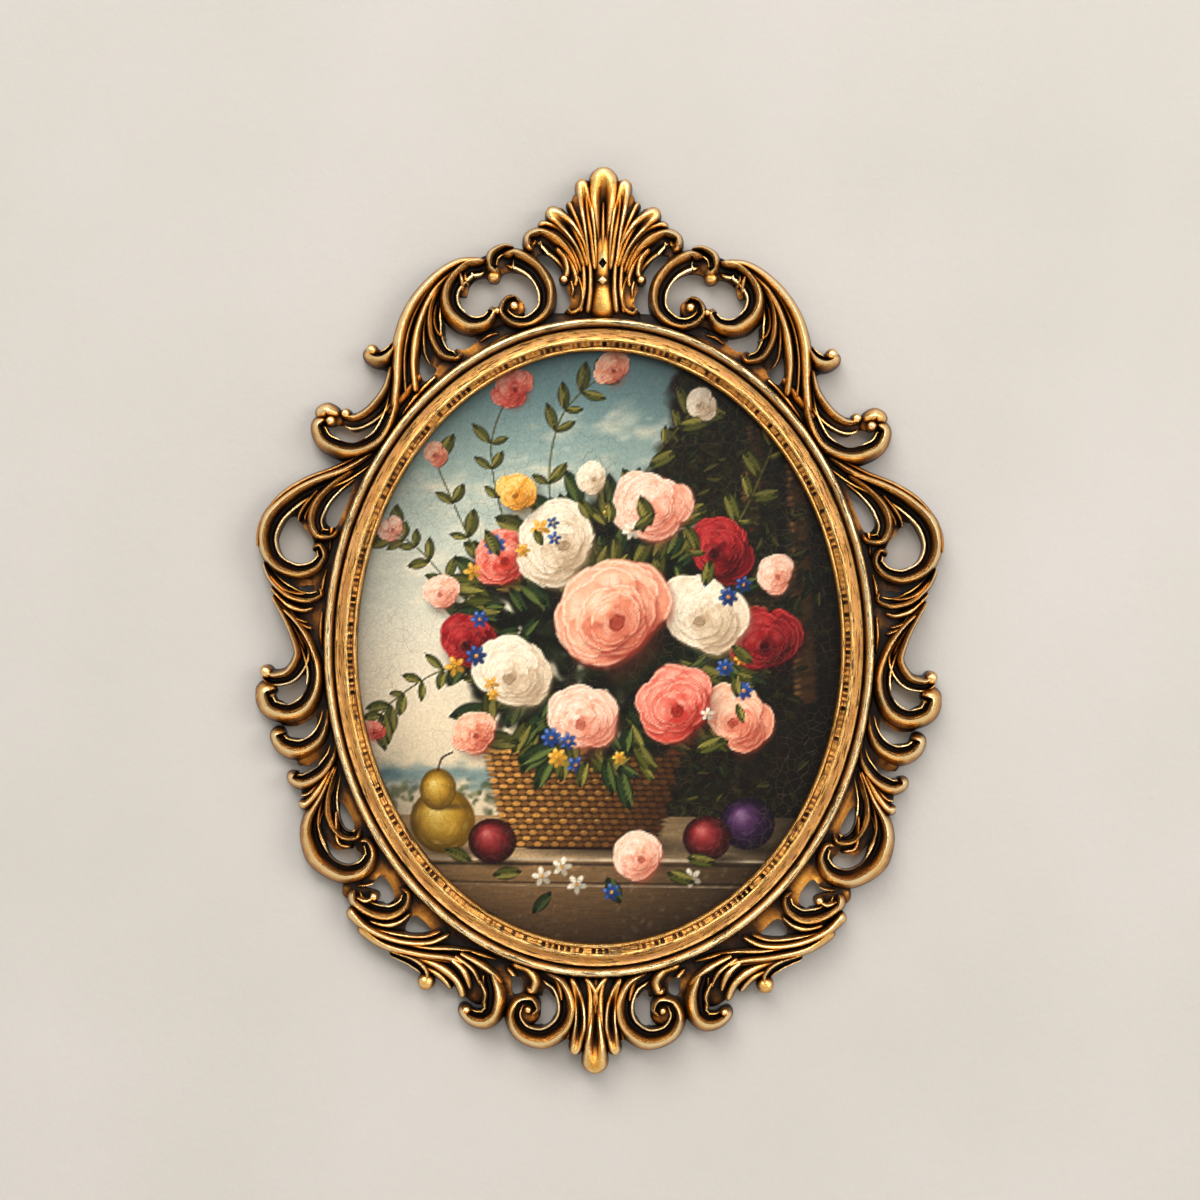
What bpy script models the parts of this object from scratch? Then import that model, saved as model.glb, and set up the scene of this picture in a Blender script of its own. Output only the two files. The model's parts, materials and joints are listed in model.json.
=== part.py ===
"""Ornate oval picture: a pierced, carved-looking casting round a painted panel and its backing board.

Metres, +Z up. The wall is the plane y = 0 and the front faces -Y. The origin is the centre of the
oval in the wall plane, on the flat back of the backing board.
"""

import math
from dataclasses import dataclass

import bmesh
import bpy

# Sizes of the oval and of what it holds
SIGHT_WIDTH = 0.1932
SIGHT_HEIGHT = 0.2368
MOULDING_WIDTH = 0.0131
MOULDING_DEPTH = 0.0140
LIP_COVER = 0.0050
SIDE_CLEARANCE = 0.0005
FIT_GAP = 0.0003
PANEL_THICKNESS = 0.0030
BOARD_THICKNESS = 0.0027

# Depth of the carving at its highest crests
CARVING_DEPTH = 0.0170

# The carving is drawn in millimetres, out from the axis and up from the centre of an oval of this
# size, and the drawing leans a little to one side
DRAWN_HALF_WIDTH = 109.7
DRAWN_HALF_HEIGHT = 131.5
DRAWN_DEPTH = 17.0
DRAWN_LEAN = 0.0097

# How far the carving runs in under the oval's outer edge, how far it runs past the back before it is
# cut flat, and how far the cutters reach to each side of the wall plane
TUCK = 0.0010
OVERRUN = 0.0020
CUTTER_REACH = 0.0500

# Fineness of the facets
OVAL_FACETS = 72
STATION_LENGTH = 9.0
STATION_TURN = math.radians(32)
OUTLINE_STEPS = 3
KNOB_SIDES = 8
SPLINE_STEPS = 24
SKIN_CELL = 0.0009
KEPT_FACETS = 0.021

# The rounded end of a stroke: where its first facet starts, as a share of the width, and the width
# and height that are left at the very tip
TIP_FACET = 0.45
TIP_WIDTH = 0.45
TIP_HEIGHT = 0.60

# A stroke reaches this far in towards the centre of its own bend, so that it never folds over
BEND_FILLED = 0.85

# The moulding's front, from the sight edge outwards, as shares of its width and depth
MOULDING_FRONT = (
    (0.09, 0.68),
    (0.17, 0.74),
    (0.26, 0.67),
    (0.42, 0.69),
    (0.54, 0.84),
    (0.64, 0.80),
    (0.72, 0.63),
    (0.80, 0.84),
    (0.90, 1.00),
    (1.00, 0.80),
)

# Cross-sections of a stroke: place from the cove edge (-1) over the crest (0) to the outer edge (1),
# and height as a share of the crest; a height of None is the overrun behind the wall plane
COVE = ((-1.0, None), (-1.0, 0.50), (-0.50, 0.44), (0.0, 1.0), (0.72, 0.66), (1.0, None))
RIB = ((-1.0, None), (-0.72, 0.62), (0.0, 1.0), (0.72, 0.62), (1.0, None))
SPOON = ((-1.0, None), (-0.70, 1.0), (0.0, 0.62), (0.70, 1.0), (1.0, None))
FLAT = ((-1.0, None), (-1.0, 1.0), (1.0, 1.0), (1.0, None))

# Profile of a knob: radius and height, as shares of its own
DOME = ((1.0, None), (1.0, 0.5), (0.72, 0.88), (0.25, 1.0))


@dataclass(frozen=True)
class Stroke:
    """One stroke of the carving: its crest line, and widths and heights evenly spaced along it.

    The cove lies inside the bend of the crest line, or outside it where the stroke is turned.
    """

    section: tuple
    crest: tuple
    outer: tuple
    inner: tuple
    height: tuple
    turned: bool = False


@dataclass(frozen=True)
class Knob:
    """A round boss: its centre, radius and height."""

    centre: tuple
    radius: float
    height: float


CREST = (
    Stroke(SPOON, ((3.4, 177.5), (5.8, 183), (7.0, 187.6)), (2.8, 4.2, 4.2), (2.6, 4.0, 4.0),
           (14, 15, 13)),
    Stroke(RIB, ((-0.5, 150), (2, 165), (4, 177), (6, 183)), (1.8, 2.2, 2.6), (1.8, 2.2, 2.6),
           (11, 13, 12)),
    Stroke(RIB, ((3, 156), (5, 166), (8, 172), (12.5, 177.8)), (1.6, 1.6, 1.2), (1.6, 1.6, 1.2),
           (10, 12, 9)),
    Stroke(SPOON, ((2, 150), (4, 155), (8, 165), (15, 172.4), (21.4, 176)), (1.8, 2.8, 4.6),
           (1.8, 2.8, 4.6), (10, 12, 13)),
    Stroke(RIB, ((4.5, 150), (8, 160), (14, 167), (21.5, 170)), (2.2, 2.4, 2.0), (2.2, 2.4, 2.0),
           (10, 11, 9)),
    Stroke(COVE, ((10, 150), (11.5, 157), (15, 162.5), (20, 165.6), (24, 166.3), (27.6, 164.3),
           (27.5, 160.5), (26, 159)), (2.0, 2.0, 2.8), (6.0, 8.5, 2.0), (11, 14, 11)),
    Stroke(COVE, ((8.5, 148), (5, 144), (4, 139), (6, 135), (10, 134), (12.5, 136)), (3.0, 3.5, 2.0),
           (3.0, 4.0, 2.0), (10, 12, 10)),
    Knob((14, 147.4), 3.2, 11),
    Knob((8.8, 144), 2.4, 11),
)

LOOP = (
    Stroke(COVE, ((39, 156.5), (34, 157.6), (29, 155.8), (23.5, 151.3), (19.6, 143.5), (20.5, 135),
           (27, 129.4), (34, 129.2), (38.8, 133.5), (37.6, 138.5), (34, 140), (32, 138)),
           (2.5, 2.6, 2.4, 1.6), (7.0, 5.2, 3.4, 2.4), (12, 14, 13, 11)),
    Stroke(COVE, ((34, 159.6), (38, 160), (42.5, 157), (43.4, 152.5), (41.5, 150.4), (40.4, 152)),
           (1.2, 2.6, 2.4), (3.0, 3.0, 2.4), (11, 16, 12)),
    Stroke(COVE, ((45, 154.3), (53, 153), (59.3, 146.5), (61.3, 140), (59, 133.3), (52, 128.6),
           (45.5, 129.6), (42.4, 133.5), (44, 135.6)), (1.6, 2.6, 5.6, 2.4), (6.6, 6.0, 4.0, 2.4),
           (12, 14, 13, 11)),
    Stroke(RIB, ((56, 150), (54.6, 146.5), (54, 142)), (1.6, 2.2, 1.4), (1.6, 2.2, 1.4), (9, 10, 8)),
    Knob((34, 136.4), 2.2, 10),
    Knob((42, 148.2), 3.2, 9),
    Knob((40.6, 134.2), 1.8, 11),
)

ARM = (
    Stroke(RIB, ((46, 154.2), (56, 153.4), (66, 146.6), (75, 135.2), (79.6, 122), (80.8, 105), (83, 92)),
           (1.6, 2.2, 2.6, 2.0), (2.0, 3.0, 4.0, 3.0), (12, 15, 15, 12)),
    Stroke(RIB, ((56, 151.5), (66, 143), (73.2, 129), (76, 114), (74.5, 99)), (2.0, 3.0, 3.4, 2.4),
           (2.0, 3.0, 3.4, 2.4), (12, 13, 12, 11)),
    Stroke(COVE, ((59, 149), (66.8, 137), (67.6, 126), (63.5, 117.3), (57.5, 115.2), (55, 117.6)),
           (2.4, 3.6, 2.2), (2.0, 5.0, 2.6), (11, 13, 10)),
    Stroke(COVE, ((81, 121), (84.2, 116.6), (88, 115), (91.4, 116.2), (91.2, 119)), (3.0, 4.8, 3.0),
           (2.0, 3.0, 1.6), (12, 13, 11)),
    Stroke(COVE, ((83, 112), (85, 103.5), (90.5, 95.6), (97, 91.2), (102.3, 91.6)), (1.8, 2.2, 2.0),
           (4.6, 6.0, 5.0), (13, 13, 11), turned=True),
    Stroke(RIB, ((85.5, 90), (76.5, 103), (68, 112.5)), (4, 5, 4), (4, 5, 4), (8, 8, 7)),
    Knob((90.8, 118.2), 2.6, 12),
    Knob((101.2, 92.6), 2.2, 11),
)

SHOULDER = (
    Stroke(COVE, ((109, 90.4), (112.2, 87.4), (109.6, 81.4), (102, 78), (94, 78.6), (86.5, 83.5),
           (82, 94), (81, 105)), (3.6, 4.6, 3.0, 2.0), (2.6, 4.2, 4.4, 3.0), (11, 14, 14, 12)),
    Stroke(RIB, ((103.5, 91.8), (109, 93.6), (113, 90.8)), (2.2, 3.2, 3.0), (2.2, 3.2, 3.0), (9, 11, 9)),
    Knob((107.5, 89.6), 2.4, 11),
)

WING = (
    Stroke(COVE, ((90, 77), (101, 70.2), (112, 66), (122, 60.6), (131, 52), (134, 42), (130.6, 32.8),
           (122, 28.3), (114, 30), (110, 35), (111.5, 39.4), (115, 38.6)), (3.0, 2.6, 3.6, 2.4, 1.8),
           (4.0, 6.0, 5.6, 4.4, 2.4), (11, 14, 15, 14, 12)),
    Stroke(COVE, ((98, 70), (106, 64.6), (112.6, 57.6), (115, 50), (112.4, 44), (107, 43.6),
           (104.5, 46.5)), (2.6, 3.2, 2.4), (3.6, 5.0, 2.6), (11, 13, 10)),
    Stroke(RIB, ((116, 56), (119.2, 52), (120.6, 48.8)), (2.2, 2.0, 1.2), (2.2, 2.0, 1.2), (9, 9, 7)),
    Stroke(COVE, ((134.2, 33), (131, 26), (124.5, 19.8), (117, 17.8), (111.4, 19.8), (112, 23)),
           (2.4, 3.4, 2.4), (2.0, 4.2, 2.0), (11, 13, 10)),
    Stroke(RIB, ((131.5, 23), (125, 15.6), (118.5, 13.4), (114, 15)), (2.0, 2.6, 1.6), (2.0, 2.6, 1.6),
           (10, 10, 8)),
    Stroke(RIB, ((128.5, 18), (121.5, 9.8), (114.5, 6.4)), (1.8, 2.6, 1.6), (1.8, 2.6, 1.6),
           (10, 10, 8)),
    Stroke(COVE, ((129.6, 17.4), (124.4, 8.4), (121.2, 0), (120.8, -5), (124.4, -10.8), (130, -12.4),
           (134, -10.4)), (1.8, 2.0, 2.2, 2.6), (2.5, 5.0, 5.4, 4.0), (13, 13, 13, 13), turned=True),
    Knob((133, -10.8), 2.8, 13),
)

SIDE_SCROLLS = (
    Stroke(COVE, ((129.4, -17.6), (133.4, -19.4), (131.4, -25.2), (124, -27.6), (117, -24.6), (113, -17),
           (112.6, -8.5), (116, 1), (121, 8.6), (128, 16.6)), (5.0, 4.4, 2.6, 2.0), (3.0, 4.6, 4.4, 2.6),
           (13, 14, 13, 12)),
    Stroke(COVE, ((125.6, -35), (128.8, -36.4), (126, -40.6), (119.5, -42.2), (112.4, -38.4),
           (109.2, -32), (108.5, -25)), (3.0, 4.6, 3.0, 2.0), (2.4, 4.0, 4.0, 2.4), (12, 13, 12, 10)),
    Stroke(COVE, ((121.8, -50.6), (122, -53.6), (117.5, -54.8), (111, -51.4), (106.4, -45), (105, -38)),
           (3.0, 4.2, 3.0, 2.0), (2.0, 3.6, 3.4, 2.4), (12, 12, 12, 10)),
    Stroke(RIB, ((120.2, -63), (116.5, -63.2), (111.5, -57), (107, -49)), (2.4, 3.4, 2.6),
           (2.0, 2.4, 2.0), (11, 12, 10)),
    Stroke(COVE, ((105.4, -48), (110.6, -60), (115.4, -69), (116, -77), (112, -86), (102.6, -91.7),
           (94.4, -90), (90.6, -84), (92.4, -78.6), (95.8, -78.6)), (2.0, 3.4, 5.4, 4.0, 1.8),
           (2.6, 4.0, 5.4, 4.4, 2.4), (11, 13, 14, 13, 11)),
    Stroke(COVE, ((104.6, -48), (108.2, -60), (108, -69), (103.6, -76), (97.6, -77), (95.2, -73.6)),
           (2.4, 3.4, 2.0), (2.4, 4.6, 2.4), (10, 12, 10)),
)

ACANTHUS = (
    Stroke(COVE, ((98, -97.6), (97.4, -102.4), (91, -107), (83.5, -108.2), (77.6, -104.4), (76.4, -99.4),
           (79, -97.4)), (4.0, 3.6, 2.4), (3.2, 4.6, 2.4), (12, 13, 10)),
    Stroke(RIB, ((99, -105.5), (92, -112), (80, -117.2), (68, -118.4), (59.5, -115)),
           (4.0, 3.2, 3.0, 2.0), (3.0, 2.8, 2.6, 1.8), (11, 13, 12, 9)),
    Stroke(RIB, ((92, -115.5), (80, -121), (66, -123.4), (54, -127)), (3.2, 3.2, 2.8), (3.2, 3.2, 2.8),
           (11, 13, 11)),
    Stroke(RIB, ((78, -120), (66, -121), (52, -121.6)), (2.4, 2.4, 2.0), (2.4, 2.4, 2.0), (11, 12, 9)),
    Stroke(COVE, ((84, -121.5), (74, -125.2), (69.4, -129.4), (69, -133.4), (71.4, -134)),
           (2.0, 2.6, 1.8), (2.4, 3.6, 2.0), (11, 12, 11)),
    Knob((69.2, -134.4), 3.6, 11),
    Knob((90, -100.4), 2.2, 10),
)

FOOT = (
    Stroke(RIB, ((58, -126), (52.6, -131), (50.4, -137.6)), (2.6, 2.8, 1.8), (2.6, 2.8, 1.8),
           (11, 11, 8)),
    Stroke(RIB, ((55, -123.5), (47, -127.4), (41.5, -131.4), (38.6, -135.5)), (2.4, 3.0, 2.4),
           (2.4, 3.0, 2.4), (11, 12, 9)),
    Stroke(COVE, ((41.4, -133), (40, -141), (43, -148), (49.6, -149.2), (54, -146), (52.4, -144.2)),
           (3.0, 4.6, 2.6), (6.0, 6.0, 2.6), (12, 13, 11)),
    Stroke(COVE, ((22, -129.6), (14.6, -134), (11, -143.4), (13.6, -152), (22, -157.3), (31, -155),
           (35, -148), (32.4, -141.6), (27, -140.8), (25, -144.6), (27.6, -147.4)),
           (3.0, 4.0, 4.6, 3.2, 1.6), (5.0, 6.0, 5.4, 4.0, 2.0), (12, 14, 14, 13, 10)),
    Stroke(RIB, ((35, -126.5), (28.4, -129), (25.8, -133.6), (26.6, -137)), (2.4, 2.8, 2.6),
           (2.4, 2.8, 2.6), (10, 11, 10)),
    Stroke(RIB, ((8.5, -132), (6.6, -140), (6.4, -148), (9.2, -156), (11.4, -163.4)), (2.6, 2.0, 3.2),
           (2.6, 2.0, 3.2), (11, 10, 12)),
    Knob((28.4, -145), 1.9, 9),
    Knob((53.4, -145.6), 2.2, 10),
)

# Low floor that ties the carving together where it is not pierced
FLOOR = (
    Stroke(FLAT, ((0, 122), (4, 138), (5, 152)), (16, 9, 7), (16, 9, 7), (4, 4)),
    Stroke(FLAT, ((3, 148), (8, 161), (16, 172)), (6, 8, 6), (6, 8, 6), (5, 5)),
    Stroke(FLAT, ((4, 160), (7, 172), (7.5, 182)), (5, 5, 3), (5, 5, 3), (5, 5)),
    Stroke(FLAT, ((17, 164), (26, 161), (24, 154)), (4, 4, 4), (4, 4, 4), (5, 5)),
    Stroke(FLAT, ((5, 149), (14, 148)), (4, 4), (4, 3), (5, 5)),
    Stroke(FLAT, ((30, 155), (42, 152.5), (54, 148)), (4, 5, 5), (4, 5, 5), (4, 7, 4)),
    Stroke(FLAT, ((60, 152), (56, 146), (54, 139)), (3, 4, 3), (3, 4, 3), (4, 4)),
    Stroke(FLAT, ((50, 126), (40, 131), (30, 129)), (3, 3, 3), (3, 3, 3), (4, 4)),
    Stroke(FLAT, ((8, 130), (26, 128), (44, 121), (60, 112), (76, 96), (84, 86)), (4, 5, 5, 4, 4, 3),
           (4, 5, 5, 4, 4, 3), (4, 4)),
    Stroke(FLAT, ((62, 146), (68, 130), (72, 112), (84, 92)), (3, 7, 9, 6), (3, 7, 9, 6), (4, 4)),
    Stroke(FLAT, ((87, 113), (80, 112)), (3, 3), (3, 3), (4, 4)),
    Stroke(FLAT, ((87, 97), (93, 90.4), (104, 89)), (3, 4, 4), (3, 4, 3), (4, 4)),
    Stroke(FLAT, ((88, 80), (98, 64), (105, 42), (111, 18), (113, -8), (108, -36), (102, -58), (88, -86),
           (72, -108), (48, -126), (24, -134), (0, -136)), (5, 5, 6, 10, 7, 7, 6, 6, 7, 8, 6, 4),
           (5, 5, 6, 8, 7, 7, 6, 6, 7, 8, 6, 4), (4, 4)),
    Stroke(FLAT, ((128, 54), (118, 57), (106, 64)), (3.5, 5, 5), (3.5, 5, 5), (4, 4)),
    Stroke(FLAT, ((104, 60), (113, 52), (116, 40)), (4, 5, 5), (4, 5, 5), (4, 4)),
    Stroke(FLAT, ((131, 31), (124, 24), (112, 22)), (3, 5, 6), (3, 5, 6), (4, 4)),
    Stroke(FLAT, ((129, -29), (118, -27), (110, -20)), (4, 5, 5), (4, 5, 5), (4, 4)),
    Stroke(FLAT, ((121, -47.5), (112, -42), (106, -36)), (4, 5, 5), (4, 5, 5), (4, 4)),
    Stroke(FLAT, ((119, -60), (111, -54), (104, -46)), (3, 5, 5), (3, 5, 5), (4, 4)),
    Stroke(FLAT, ((109, -54), (111, -68), (107, -77), (98, -79)), (4, 5, 5, 5), (4, 5, 5, 5), (4, 4)),
    Stroke(FLAT, ((103, -97), (94, -98), (86, -90)), (4, 5, 4), (4, 5, 4), (4, 4)),
    Stroke(FLAT, ((94, -108), (80, -113), (64, -114)), (5, 5, 4), (5, 5, 4), (4, 4)),
    Stroke(FLAT, ((68, -124), (54, -131), (44, -142)), (5, 7, 6), (5, 7, 6), (4, 4)),
    Stroke(FLAT, ((44, -128), (34, -138), (36, -150)), (7, 7, 4), (7, 7, 4), (4, 4)),
    Knob((34.5, 136), 5.6, 7),
    Knob((29.5, -146), 6.4, 7),
    Knob((90, 116.4), 3.0, 7),
    Knob((105.2, 90.6), 3.4, 7),
)

# Strokes and floor that lie on the axis, drawn upright
AXIAL = (
    Stroke(SPOON, ((0, 150), (0, 165), (0, 178), (0, 192.4)), (2.6, 3.0, 4.4, 6.6), (2.6, 3.0, 4.4, 6.6),
           (11, 13, 16, 15)),
    Stroke(RIB, ((0, 130), (0, 141), (0, 150)), (5.5, 4.0, 4.6), (5.5, 4.0, 4.6), (9, 11, 11)),
    Stroke(RIB, ((0, -129), (0, -136), (0, -142)), (6.5, 4.0, 2.2), (6.5, 4.0, 2.2), (10, 10, 10)),
    Stroke(SPOON, ((0, -140), (0, -150), (0, -160), (0, -170.6)), (1.8, 2.4, 4.0, 6.2),
           (1.8, 2.4, 4.0, 6.2), (10, 12, 14, 13)),
    Stroke(FLAT, ((0, -130), (0, -150), (0, -163)), (12, 6, 9), (12, 6, 9), (4, 4)),
)

# Outlines of the pierced openings
OPENINGS = (
    ((24.6, 157.2), (20.5, 157), (16.2, 152), (16.2, 147), (12.6, 142.5), (11.3, 138), (13.5, 134.4),
     (16.8, 135), (17.1, 143), (19.4, 149.4), (24, 154.4)),
    ((45.6, 147.8), (43.6, 145.9), (40.6, 145.9), (38.6, 149.4), (35, 150.2), (30, 149), (26, 145.4),
     (24.4, 140), (26, 135.4), (29.8, 133), (30.2, 137.6), (35, 140.8), (39, 138.6), (41, 135.6),
     (44, 136.6), (46.6, 134.6), (47.4, 132.2), (52.6, 132.6), (55, 137), (56.4, 140.3), (53.4, 140.2),
     (52, 144.4), (49, 147)),
    ((62.8, 130.6), (58, 126), (49, 123.3), (50, 121), (54.5, 118.7), (58.8, 120.8), (59.8, 124.6)),
    ((71.5, 117), (69, 113.6), (65, 110.6), (69.5, 106), (72.2, 110)),
    ((42.2, 125.7), (40, 128.4), (38.8, 127.2)),
    ((107, 86.8), (103, 88), (98, 85.4), (93, 87), (89, 88.8), (91.5, 84.4), (98, 81), (104.6, 82.6)),
    ((122, 50.4), (126.6, 47.4), (128.8, 41), (126, 34.6), (118.6, 32.4), (115.6, 35.4), (115.4, 39.4),
     (114.2, 41), (117.4, 46)),
    ((98.4, 64), (104, 60.6), (109, 54), (109.6, 49), (106, 47), (103, 52)),
    ((121, 23), (114.4, 23.8), (114.6, 21.6), (118, 21.4)),
    ((128, -17.6), (122, -15.8), (118.2, -12), (117, -17), (120, -21.4), (125, -24), (129, -21),
     (127.4, -19)),
    ((123.6, -34), (118, -31.4), (113.6, -28.6), (113.6, -33.4), (118, -37.7), (122.4, -36.6)),
    ((120.6, -49), (116, -48), (111.4, -45.6), (113, -49), (118, -51.3)),
    ((109.5, -78), (105, -82), (99, -81.8), (95.3, -83.8), (97, -87), (102, -88), (107.4, -84.8)),
    ((103.4, -62.4), (98.6, -70), (98.6, -74.4), (102, -73.4), (104.2, -68)),
    ((94.4, -97), (90.6, -95.4), (87.4, -92), (83, -96.8), (82.2, -101.6), (86, -104), (88.6, -99)),
    ((73.4, -108), (67.2, -113.8), (71, -115.4), (77.4, -115), (77, -111.6)),
    ((21.6, -137), (18, -140.6), (17.4, -145), (19.4, -150.4), (22.5, -152), (23.4, -148.4), (23, -142)),
    ((35, -131.8), (31, -133.2), (31, -138.6), (34.6, -139.4)),
)


def clear_scene():
    """Removes whatever the file opened with."""
    for old in list(bpy.data.objects):
        bpy.data.objects.remove(old)


def material(name, colour, roughness, metallic):
    """Returns a Principled material of one colour."""
    made = bpy.data.materials.new(name)
    made.use_nodes = True
    shader = made.node_tree.nodes["Principled BSDF"]
    shader.inputs["Base Color"].default_value = (*colour, 1.0)
    shader.inputs["Roughness"].default_value = roughness
    shader.inputs["Metallic"].default_value = metallic
    made.diffuse_color = (*colour, 1.0)
    return made


def oval_point(angle, offset):
    """Returns x and z of the point that lies offset outside the sight oval, at this angle."""
    half_width = SIGHT_WIDTH / 2
    half_height = SIGHT_HEIGHT / 2
    across = math.cos(angle) / half_width
    upward = math.sin(angle) / half_height
    length = math.hypot(across, upward)
    x = half_width * math.cos(angle) + offset * across / length
    z = half_height * math.sin(angle) + offset * upward / length
    return x, z


def object_from(name, points, faces):
    """Returns a new object with outward faces."""
    mesh = bpy.data.meshes.new(name)
    mesh.from_pydata(points, [], faces)
    shape = bmesh.new()
    shape.from_mesh(mesh)
    bmesh.ops.recalc_face_normals(shape, faces=shape.faces)
    shape.to_mesh(mesh)
    shape.free()
    made = bpy.data.objects.new(name, mesh)
    bpy.context.scene.collection.objects.link(made)
    return made


def tube(name, rings, looped):
    """Returns a closed body through rings of points, round a loop or with a cap at each end."""
    sides = len(rings[0])
    points = [point for ring in rings for point in ring]
    faces = []
    for row in range(len(rings) if looped else len(rings) - 1):
        here = row * sides
        there = (row + 1) % len(rings) * sides
        for side in range(sides):
            after = (side + 1) % sides
            faces.append((here + side, here + after, there + after, there + side))
    if not looped:
        faces.append(tuple(range(sides)))
        faces.append(tuple(range((len(rings) - 1) * sides, len(rings) * sides)))
    return object_from(name, points, faces)


def oval_prism(name, offset, front, back):
    """Returns an oval block between two depths, offset outside the sight oval."""
    rings = []
    for depth in (front, back):
        ring = []
        for step in range(OVAL_FACETS):
            x, z = oval_point(math.tau * step / OVAL_FACETS, offset)
            ring.append((x, depth, z))
        rings.append(ring)
    return tube(name, rings, looped=False)


def moulding(name):
    """Returns the oval moulding, with the rebate that the panel and the board lie in."""
    seat = PANEL_THICKNESS + BOARD_THICKNESS + 2 * FIT_GAP
    rebate = LIP_COVER + SIDE_CLEARANCE
    profile = [(0.0, seat)]
    profile += [(out * MOULDING_WIDTH, rise * MOULDING_DEPTH) for out, rise in MOULDING_FRONT]
    profile += [(MOULDING_WIDTH, 0.0), (rebate, 0.0), (rebate, seat)]
    rings = []
    for step in range(OVAL_FACETS):
        ring = []
        for out, rise in profile:
            x, z = oval_point(math.tau * step / OVAL_FACETS, out)
            ring.append((x, -rise, z))
        rings.append(ring)
    return tube(name, rings, looped=True)


def spline(points, steps, closed=False):
    """Returns a smooth line through the points, with this many steps from each to the next."""
    count = len(points)
    line = []
    for index in range(count if closed else count - 1):
        if closed:
            around = [points[(index + shift) % count] for shift in (-1, 0, 1, 2)]
        else:
            around = [points[min(max(index + shift, 0), count - 1)] for shift in (-1, 0, 1, 2)]
        before, start, end, after = around
        for step in range(steps):
            t = step / steps
            point = []
            for a, b, c, d in zip(before, start, end, after):
                bow = (2 * a - 5 * b + 4 * c - d) * t ** 2 + (3 * b - a - 3 * c + d) * t ** 3
                point.append(0.5 * (2 * b + (c - a) * t + bow))
            line.append(tuple(point))
    if not closed:
        line.append(points[-1])
    return line


def blend(values, share):
    """Returns the value at this share of the way along evenly spaced values."""
    place = share * (len(values) - 1)
    index = min(int(place), len(values) - 2)
    return values[index] + (values[index + 1] - values[index]) * (place - index)


def turn_between(first, second):
    """Returns the signed angle from one direction to another."""
    turn = math.atan2(second[1], second[0]) - math.atan2(first[1], first[0])
    return (turn + math.pi) % math.tau - math.pi


def stations(crest, tip):
    """Returns (point, direction, signed bend, distance) where the facets of a stroke meet."""
    line = spline(crest, SPLINE_STEPS)
    ways = [(b[0] - a[0], b[1] - a[1]) for a, b in zip(line, line[1:])]
    total = sum(math.hypot(*way) for way in ways)
    tips = [TIP_FACET * tip, total - TIP_FACET * tip]
    chosen = []
    distance = 0.0
    owed = 1.0
    for index, way in enumerate(ways):
        turn = turn_between(ways[index - 1], way) if index else 0.0
        length = math.hypot(*way)
        owed += abs(turn) / STATION_TURN
        at_tip = any(distance <= place < distance + length for place in tips)
        if owed >= 1.0 or at_tip:
            chosen.append((line[index], way, turn / length, distance))
            owed = 0.0
        owed += length / STATION_LENGTH
        distance += length
    chosen.append((line[-1], ways[-1], chosen[-1][2], distance))
    return chosen


def placed(out, up, depth, side, lean):
    """Returns the point of the model for a point of the drawing."""
    wide = (SIGHT_WIDTH / 2 + MOULDING_WIDTH) / DRAWN_HALF_WIDTH
    tall = (SIGHT_HEIGHT / 2 + MOULDING_WIDTH) / DRAWN_HALF_HEIGHT
    deep = OVERRUN if depth is None else -depth * CARVING_DEPTH / DRAWN_DEPTH
    return side * (out + lean * up) * wide, deep, up * tall


def stroke_body(name, stroke, side, lean):
    """Returns one stroke as a closed body, rounded off at both ends."""
    rows = stations(stroke.crest, max(stroke.outer[0], stroke.outer[-1]))
    total = rows[-1][3]
    bend = sum(turn_between(a[1], b[1]) for a, b in zip(rows, rows[1:]))
    cove = 1.0 if (bend >= 0) != stroke.turned else -1.0
    rings = []
    for (out, up), way, curve, distance in rows:
        share = distance / total
        wide = blend(stroke.outer, share)
        narrow = blend(stroke.inner, share)
        reach = (wide + narrow) / 2
        near = min(min(distance, total - distance) / reach, 1.0)
        swell = math.sqrt(1 - (1 - near) ** 2)
        width_share = TIP_WIDTH + (1 - TIP_WIDTH) * swell
        height = blend(stroke.height, share) * (TIP_HEIGHT + (1 - TIP_HEIGHT) * swell)
        if curve * cove > 0:
            narrow = min(narrow, BEND_FILLED / (curve * cove))
        length = math.hypot(*way)
        normal = (-way[1] / length * cove, way[0] / length * cove)
        ring = []
        for place, level in stroke.section:
            across = place * (narrow if place < 0 else wide) * width_share
            rise = None if level is None else level * height
            ring.append(placed(out - normal[0] * across, up - normal[1] * across, rise, side, lean))
        rings.append(ring)
    return tube(name, rings, looped=False)


def knob_body(name, knob, side):
    """Returns a low round dome."""
    rings = []
    for radius, rise in DOME:
        ring = []
        for step in range(KNOB_SIDES):
            angle = math.tau * step / KNOB_SIDES
            out = knob.centre[0] + knob.radius * radius * math.cos(angle)
            up = knob.centre[1] + knob.radius * radius * math.sin(angle)
            height = None if rise is None else rise * knob.height
            ring.append(placed(out, up, height, side, DRAWN_LEAN))
        rings.append(ring)
    return tube(name, rings, looped=False)


def opening_body(name, outline, side):
    """Returns a cutter for one pierced opening."""
    line = spline(outline, OUTLINE_STEPS, closed=True)
    rings = []
    for depth in (-CUTTER_REACH, CUTTER_REACH):
        ring = []
        for out, up in line:
            x, _, z = placed(out, up, 0.0, side, DRAWN_LEAN)
            ring.append((x, depth, z))
        rings.append(ring)
    return tube(name, rings, looped=False)


def group(name, members):
    """Puts helper objects in one collection, hidden from the finished model."""
    made = bpy.data.collections.new(name)
    bpy.context.scene.collection.children.link(made)
    for member in members:
        bpy.context.scene.collection.objects.unlink(member)
        made.objects.link(member)
        hide(member)
    return made


def hide(helper):
    """Marks a cutter or guide, which is not part of the model."""
    helper.hide_render = True
    helper.display_type = "WIRE"


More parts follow.
